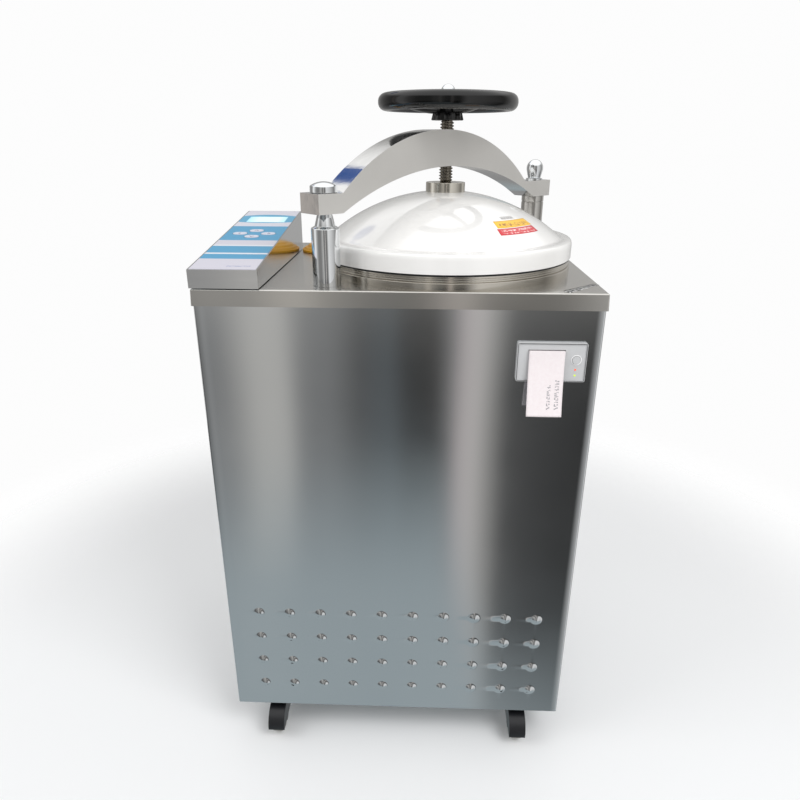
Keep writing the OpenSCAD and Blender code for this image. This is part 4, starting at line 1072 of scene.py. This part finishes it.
# %% Handwheel
RIM_R, RIM_HALF, RIM_Z, RIM_FLAT = 108.0, 13.0, 280.0, 1.2
oval = np.concatenate([arc((RIM_R, RIM_Z + RIM_FLAT), RIM_HALF, 0, 180, 20),
                       arc((RIM_R, RIM_Z - RIM_FLAT), RIM_HALF, 180, 360, 20)])
rim = lathe(oval, vessel, steps=160, closed=True)
hub_a = np.linspace(0, 2 * np.pi, 160, endpoint=False)
lug = np.clip(np.cos(8 * hub_a) * 2.2, -1, 1) * 0.5 + 0.5
hub_path = soften([[0, 251], [24, 251], [24, 272], [0, 272]], [0.5, 1.5, 3, 0.5])
lug_share = np.interp(hub_path[:, 1], [251, 252, 263, 265.5], [0.8, 1, 1, 0]) * (hub_path[:, 0] > 20)
hub_r = hub_path[:, :1] + 4 * lug_share[:, None] * lug[None, :]
hub = vessel + MM * np.stack([hub_r * np.cos(hub_a), hub_r * np.sin(hub_a),
                              np.broadcast_to(hub_path[:, 1:], hub_r.shape)], -1)
arms = []
for heading_deg in (75, 195, 315):
    out = np.array([math.cos(math.radians(heading_deg)), math.sin(math.radians(heading_deg)), 0])
    aside = np.cross(UP, out)
    run = np.linspace(14, RIM_R - 5, 24)
    rise = 266.5 + 11 * (np.clip((run - 26) / 74, 0, 1) ** 2 * (3 - 2 * np.clip((run - 26) / 74, 0, 1)))
    wide = np.interp(run, [14, 30, 80, 106], [11, 10, 8, 9.5])
    deep = np.interp(run, [14, 30, 80, 106], [5.5, 5, 4.8, 6.5])
    a = np.linspace(0, 2 * np.pi, 28, endpoint=False)
    across_arm = np.abs(np.cos(a)) ** 0.75 * np.sign(np.cos(a))
    up_arm = np.abs(np.sin(a)) ** 0.75 * np.sign(np.sin(a))
    ring = run[:, None, None] * out + (wide[:, None] * across_arm)[..., None] * aside
    ring = ring + (rise[:, None] + deep[:, None] * up_arm)[..., None] * UP
    arms.append((vessel + MM * ring, False, True))
stand_for(piece("pressed_handwheel", rim, (hub, False, True), *arms, sharp=40), "handwheel")

# %% [markdown]
# ## Posts
# Both posts are ground bar, screwed into a plate under the worktop. The left one tapers to a neck that
# the yoke turns on, and its domed cap keeps the yoke down. The right one has a groove near its top and
# a stud that carries the clamp knob.

# %% Posts, cap and knob


def hexagon(across):
    """A hexagon from its distance across corners."""
    return arc((0, 0), across / 2, 0, 300, 6)


foot = [[0, -76], [10, -76], [10, -48], [22.5, -48]]
left = foot + [[22.5, 90], [17.2, 93], [16.5, 93.2], [11.5, 112.9], [9, 112.9], [9, 152], [0, 152]]
left_r = [0.1, 0.5, 0.3, 0.5, 1.2, 0.8, 0.4, 0.4, 0.2, 0.8, 0.1]
left_nut = prism(hexagon(34), -72, -60, pivot)
stand_for(piece("pivot_column", lathe(soften(left, left_r, steps=4), pivot, steps=96), left_nut, sharp=35),
          "pivot_post")
right = foot + [[22.5, 99.8], [21.3, 100.2], [21.3, 101.4], [22.5, 101.8], [22.5, 112.7], [8, 112.7],
                [8, 176], [0, 176]]
right_r = [0.1, 0.5, 0.3, 0.5, 0.3, 0.2, 0.2, 0.3, 0.8, 0.2, 1.2, 0.1]
right_nut = prism(hexagon(34), -72, -60, lock)
stand_for(piece("lock_column", lathe(soften(right, right_r, steps=4), lock, steps=96), right_nut, sharp=35),
          "lock_post")
cap_dome = arc((0, 120.5), 39.5, 58.5, 90, 12)
cap = np.concatenate([soften([[0, 143.9], [21.5, 143.9], [21.5, 153]], [0.1, 0.8, 0.1]), cap_dome])
stand_for(piece("domed_cap", lathe(cap, pivot, steps=96), sharp=40), "pivot_cap")
knob_ball = arc((0, 166.4), 16.5, 0, 90, 16)
knob = np.concatenate([soften([[8.05, 146.5], [12.5, 146.5], [16.5, 163.4]], [0.1, 1.2, 0.1]), knob_ball])
knob = np.concatenate([knob, [[0, 178.2], [8.05, 178.2]]])
stand_for(piece("clamp_knob_ball", lathe(knob, lock, steps=72, closed=True), sharp=40), "lock_knob")

# %% [markdown]
# ## Yoke
# The yoke is an arch between two square ends, all one thickness. For each distance along it there is an
# underside and a top: the underside is flat at the ends and a large circle between, the top likewise.
# The rectangle between them is carried along, the nut hole and the open slot are cut, then every edge
# gets the small break that a polisher leaves.

# %% Arched yoke
YOKE_T, END_LOW, END_HIGH = 48.0, 113.0, 143.5
ARCH = (248.0, 236.5, 327.0)
VAULT = (263.0, 177.0, 497.0)


def bow(s, circle):
    """Height of a circle with a given top at distance s along the yoke."""
    centre, top, radius = circle
    return top - radius + np.sqrt(np.maximum(radius ** 2 - (s - centre) ** 2, 0))


arch_feet = ARCH[0] + np.array([-1, 1]) * math.sqrt(ARCH[2] ** 2 - (END_HIGH - ARCH[1] + ARCH[2]) ** 2)
vault_feet = VAULT[0] + np.array([-1, 1]) * math.sqrt(VAULT[2] ** 2 - (END_LOW - VAULT[1] + VAULT[2]) ** 2)
s = np.unique(np.concatenate([[-28, 560], np.linspace(arch_feet[0], arch_feet[1], 70), vault_feet,
                              np.linspace(-20, 540, 8)]).round(3))
top = np.where((s > arch_feet[0]) & (s < arch_feet[1]), bow(s, ARCH), END_HIGH)
low = np.where((s > vault_feet[0]) & (s < vault_feet[1]), bow(s, VAULT), END_LOW)
half = YOKE_T / 2
corner_t = np.array([-half, half, half, -half])
corner_z = np.stack([low, low, top, top], 1)
beam_grid = pivot + MM * (s[:, None, None] * along_yoke + corner_t[None, :, None] * across_yoke
                          + corner_z[..., None] * UP)
beam = piece("arched_yoke", (beam_grid, False, True))
nut_hole = lathe([[20, 150], [20, 260]], vessel, steps=96)
slot_shape = np.concatenate([arc((0, 0), 9, 180, 360, 24), [[9, 40], [-9, 40]]])
slot_tool = prism(slot_shape, 100, 160, lock, along_yoke, across_yoke)
bore(beam, nut_hole, slot_tool)
ease(beam, 1.2)
beam.data.materials.append(finishes["yoke_steel"])
beam.data.materials.append(finishes["yoke_satin"])
facing = np.empty(len(beam.data.polygons) * 3, np.float32)
beam.data.polygons.foreach_get("normal", facing)
broad = (np.abs(facing.reshape(-1, 3) @ across_yoke) > 0.9).astype(np.int32)
beam.data.polygons.foreach_set("material_index", broad)
stand_for(beam, "yoke_beam")

# %% [markdown]
# ## Gasket and filler cap
# The silicone ring shows as a dark line between the flange and the lid. The filler cap is a stack of
# stepped discs moulded in yellow plastic, with a soft edge on each step.

# %% Gasket and cap
ring_section = soften([[204, 22.2], [230.4, 22.2], [230.4, 24.9], [204, 24.9]], 0.6, True, 4)
stand_for(piece("silicone_ring", lathe(ring_section, vessel, steps=180, closed=True), sharp=50),
          "lid_gasket")
stack = [[20.1, 0.4], [48, 0.4], [48, 5.6], [45.5, 5.8], [42, 9.8], [38, 10], [34, 14.8], [26, 15],
         [22, 19], [0, 19], [0, 10.2], [20.1, 10.2]]
stack_r = [0.3, 1.5, 1.5, 0.8, 1.2, 1.2, 1.5, 1.5, 2, 0.2, 0.2, 0.3]
cap_base = np.append(filler, deck_z)
stand_for(piece("stepped_cap", lathe(soften(stack, stack_r, True, 4), cap_base, steps=96, closed=True),
                sharp=40), "filler_cap")

# %% [markdown]
# ## Control box
# The box is folded from polished sheet, so its sides mirror the worktop and its folded edges are bright
# lines. The four membrane keys each carry a small arrow, and the marks ride on the keys.

# %% Housing and key arrows
box_shine, tree, bsdf, place = new_material("polished_box_sheet", Metallic=1.0, Anisotropic=0.3)
drift(tree, bsdf, place, "#DEDFE0", "#D0D2D4", 120, 0.13, 0.03)
relief(tree, bsdf, place, (5.0, 600.0, 600.0), 0.003)
smear_across(tree, bsdf, (0.0, 1.0, 0.0))
finishes["control_housing"] = box_shine
stand_for(softened("control_housing", 0.8), "control_housing")
mark_ink, tree, bsdf, place = new_material("grey_key_ink", Roughness=0.4)
drift(tree, bsdf, place, "#5E6C8E", "#54617F", 8, 0.4, 0.03)
relief(tree, bsdf, place, 1100.0, 0.01)
up_slope = np.array([0, math.cos(tilt), math.sin(tilt)])
KEY_HALF, ARROW_T = 0.6, 0.08
ARROW = np.array([[0, 4.2], [4.6, -1.2], [2.6, -1.2], [0, 1.8], [-2.6, -1.2], [-4.6, -1.2]])
for key, turn in (("key_up", 0), ("key_left", 90), ("key_down", 180), ("key_right", 270)):
    key_low, key_high = corners(key)
    top_middle = (key_low + key_high) / 2
    a = math.radians(turn)
    swung = ARROW @ np.array([[math.cos(a), math.sin(a)], [-math.sin(a), math.cos(a)]])
    arrow = piece(key + "_arrow", prism(swung, KEY_HALF, KEY_HALF + ARROW_T, top_middle, EAST, up_slope),
                  sharp=30)
    lie_on(arrow, key, mark_ink)

# %% [markdown]
# ## Printer
# The printer's bezel is painted plastic with a raised edge. That edge and a collar round its button are
# near white, a painted highlight along the bezel's edges. Below its button sit two small lamps. The paper
# leaves the slot, bends over its lip and hangs, and because it came off a roll it keeps a curl: the lower
# end swings out, and one corner more than the other.

# %% Bezel, lamps and paper
stand_for(softened("printer_bezel", 0.5), "printer_bezel")
# Near white on the raised edge and the button collar: a painted highlight along the bezel's edges
lip_ink, tree, bsdf, place = new_material("bezel_edge_painted_highlight", Roughness=0.35)
drift(tree, bsdf, place, "#FAFAFA", "#F0F0F1", 20, 0.3, 0.03)
relief(tree, bsdf, place, 1100.0, 0.01)
bezel_face = bezel_low[1] / MM
half_bezel = (bezel_high - bezel_low) / 2 / MM
bezel_mid = (bezel_low + bezel_high) / 2
edge_section = soften([[0.6, 0], [0.6, 0.45], [1.9, 0.45], [1.9, 0]], 0.15, True, 3)
edge_grid = frame_round(edge_section, 3, half_bezel[0], half_bezel[2])
edge_at = np.array([bezel_mid[0], bezel_low[1] + 0.45 * MM, bezel_mid[2]])
edge_points = edge_at + MM * (edge_grid[..., :1] * EAST + edge_grid[..., 1:2] * UP
                              - edge_grid[..., 2:] * NORTH)
lie_on(piece("bezel_rim", (edge_points, True, True), sharp=40), "printer_bezel", lip_ink)
button_mid = (corners("printer_button")[0] + corners("printer_button")[1]) / 2
collar = soften([[7.0, 0], [7.0, 0.5], [8.6, 0.5], [8.6, 0]], 0.15, True, 3)
collar_at = np.array([button_mid[0], bezel_low[1] + 1.25 * MM, button_mid[2]])
lie_on(piece("button_collar", lathe(collar, collar_at, axis=-NORTH, steps=48, closed=True), sharp=40),
       "printer_bezel", lip_ink)
LIGHT_X = 287.0
LIGHTS = (("ready_lamp", 123.6, "#FF5A2A"), ("paper_lamp", 133.3, "#C8E63A"))
for lamp_name, below, hue in LIGHTS:
    lens_glow, tree, bsdf, place = new_material(lamp_name + "_lens", Emission_Color=paint(hue),
                                                Emission_Strength=0.6)
    drift(tree, bsdf, place, hue, hue, 5, 0.2, 0.03)
    relief(tree, bsdf, place, 900.0, 0.005)
    spot = np.array([LIGHT_X * MM, bezel_low[1] + 3 * MM, deck_z - below * MM])
    bead = soften([[0, -1], [1.5, -1], [1.5, 2.2], [0, 2.9]], [0.1, 0.1, 0.8, 0.1])
    lie_on(piece(lamp_name, lathe(bead, spot, axis=-NORTH, steps=24), sharp=40), "printer_bezel", lens_glow)

strip_top, strip_low_z = paper_high[2] / MM, paper_low[2] / MM
fall = np.linspace(0, 1, 40)
LIP_OUT, LIP_DROP, SWING, PAPER = 2.4, 0.8, 17.1, 0.12
hang_y = bezel_face - LIP_OUT - SWING * fall ** 1.7
hang_z = strip_top - LIP_DROP - fall * (strip_top - LIP_DROP - strip_low_z - 0.3)
lead_path = soften([[bezel_face + 7.5, strip_top - 1.2], [bezel_face - 1.2, strip_top - 0.4],
                    [bezel_face - LIP_OUT, strip_top - LIP_DROP]], 1.0)
side_view = np.concatenate([lead_path, np.stack([hang_y, hang_z], 1)[1:]])
walk = np.concatenate([np.zeros(len(lead_path)), fall[1:]])
across_paper = np.linspace(0, 1, 17)
paper_x = paper_low[0] / MM + across_paper * (paper_high[0] - paper_low[0]) / MM
curl = walk[:, None] ** 2 * (1.6 * (across_paper - 0.5) ** 2 * 4 + 1.2 * across_paper)[None, :]
ripple = 0.5 * walk[:, None] * np.sin(7 * walk[:, None] + 3 * across_paper[None, :])
sheet_y = side_view[:, :1] + curl * 0.55 + ripple
sheet = np.stack([np.broadcast_to(paper_x, sheet_y.shape), sheet_y,
                  np.broadcast_to(side_view[:, 1:], sheet_y.shape)], -1)
strip = piece("hanging_strip", (MM * sheet, False, False), closed=False)
stand_for(thicken(strip, PAPER), "paper_strip")

# %% [markdown]
# ## Marks on the worktop
# A narrow label with pale strokes on black lies across the worktop's right front corner.

# %% Corner label
code, tree, bsdf, place = new_material("black_white_vinyl", Roughness=0.35, Coat_Weight=0.25,
                                       Coat_Roughness=0.1)
uv = add(tree, "ShaderNodeUVMap", uv_map="print").outputs[0]
split = add(tree, "ShaderNodeSeparateXYZ", links={0: uv})
marks = ink(tree, split.outputs[0], split.outputs[1], 11, 2, 4)
both = add(tree, "ShaderNodeMix", {6: paint("#1E1E20"), 7: paint("#D8D8D6")}, {0: marks}, data_type="RGBA")
tree.links.new(both.outputs[2], bsdf.inputs["Base Color"])
relief(tree, bsdf, place, 900.0, 0.004)
LABEL = np.array([[259.7, 20.2], [267.8, 6.4], [329.0, 69], [320, 76.3]])
label_mm = np.concatenate([LABEL + [0, front_y / MM], np.full((4, 1), deck_z / MM + 0.05)], 1)
label_grid = MM * np.stack([label_mm[[0, 3]], label_mm[[1, 2]]])
corner_label = piece("corner_label", (label_grid, False, False), closed=False)
corner_label.data.uv_layers.new(name="print")
corner = np.empty(len(corner_label.data.loops), np.int32)
corner_label.data.loops.foreach_get("vertex_index", corner)
label_uv = np.array([[0, 1], [1, 1], [0, 0], [1, 0]], float)
corner_label.data.uv_layers[0].data.foreach_set("uv", label_uv[corner].ravel())
lie_on(thicken(corner_label, 0.1, 1), "deck_plate", code)

# %% [markdown]
# ## Baskets
# The goods stand in two round baskets of welded wire. Hoops give the height, upright wires the wall, and
# the floor is a set of rings on four cross wires. Two bails stand up from the top hoop as handles. Each
# wire is a tube along its path: a circle for a hoop, a bent line for an upright.

# %% Wire baskets
WIRE, HOOP_WIRE = 1.6, 2.8


def hoop(radius, height, wire):
    """A closed wire circle about the vessel's axis."""
    a = np.linspace(0, 2 * np.pi, 120, endpoint=False)
    ring = np.stack([radius * np.cos(a), radius * np.sin(a), np.full_like(a, height)], 1)
    return tube(vessel + MM * ring, wire, 8, closed=True)


def spoke(heading_deg, points, wire):
    """A wire in an upright plane through the axis, from (radius, height) points."""
    path = soften(points, 4)
    out = np.array([math.cos(math.radians(heading_deg)), math.sin(math.radians(heading_deg)), 0])
    aside = np.cross(UP, out)
    return tube(vessel + MM * (path[:, :1] * out + path[:, 1:] * UP), wire, 7, up=aside)


for basket, name in (("lower_basket", "wire_basket_low"), ("upper_basket", "wire_basket_high")):
    b_low, b_high = corners(basket)
    foot, head = (b_low[2] - deck_z) / MM, (b_high[2] - deck_z) / MM
    rim_r = (b_high[1] - b_low[1]) / 2 / MM - HOOP_WIRE
    rim_z = head - 13
    wires = [hoop(rim_r, rim_z, HOOP_WIRE), hoop(rim_r - 1, foot + HOOP_WIRE, HOOP_WIRE)]
    wires += [hoop(rim_r, z, WIRE) for z in np.linspace(foot, rim_z, 6)[1:-1]]
    wires += [hoop(r, foot + HOOP_WIRE, WIRE) for r in np.arange(20, rim_r - 10, 18)]
    bend = [[rim_r - 2, rim_z], [rim_r - 2, foot + 2], [rim_r - 30, foot + 2]]
    wires += [spoke(h, bend, WIRE) for h in range(0, 360, 8)]
    for heading_deg in range(0, 180, 45):
        out = np.array([math.cos(math.radians(heading_deg)), math.sin(math.radians(heading_deg)), 0])
        reach = np.linspace(-rim_r + 2, rim_r - 2, 12)[:, None]
        wires.append(tube(vessel + MM * (reach * out + (foot + WIRE) * UP), WIRE, 7))
    for side in (-1, 1):
        bail = soften([[-40, rim_z - 14], [-40, head - 3], [40, head - 3], [40, rim_z - 14]], 8)
        bail_path = side * (rim_r - 2) * EAST + bail[:, :1] * NORTH + bail[:, 1:] * UP
        wires.append(tube(vessel + MM * bail_path, HOOP_WIRE, 8, up=EAST))
    stand_for(piece(name, *wires, sharp=60), basket)

# %% [markdown]
# ## Castors
# Each castor has a hooded fork pressed from sheet and painted black, and a grey rubber wheel. The hoods'
# edges are rounded, which is what makes them look moulded.

# %% Castor hoods
for end in ("front", "rear"):
    for side in ("left", "right"):
        hood = "castor_fork_%s_%s" % (end, side)
        stand_for(softened(hood, 0.9), hood)
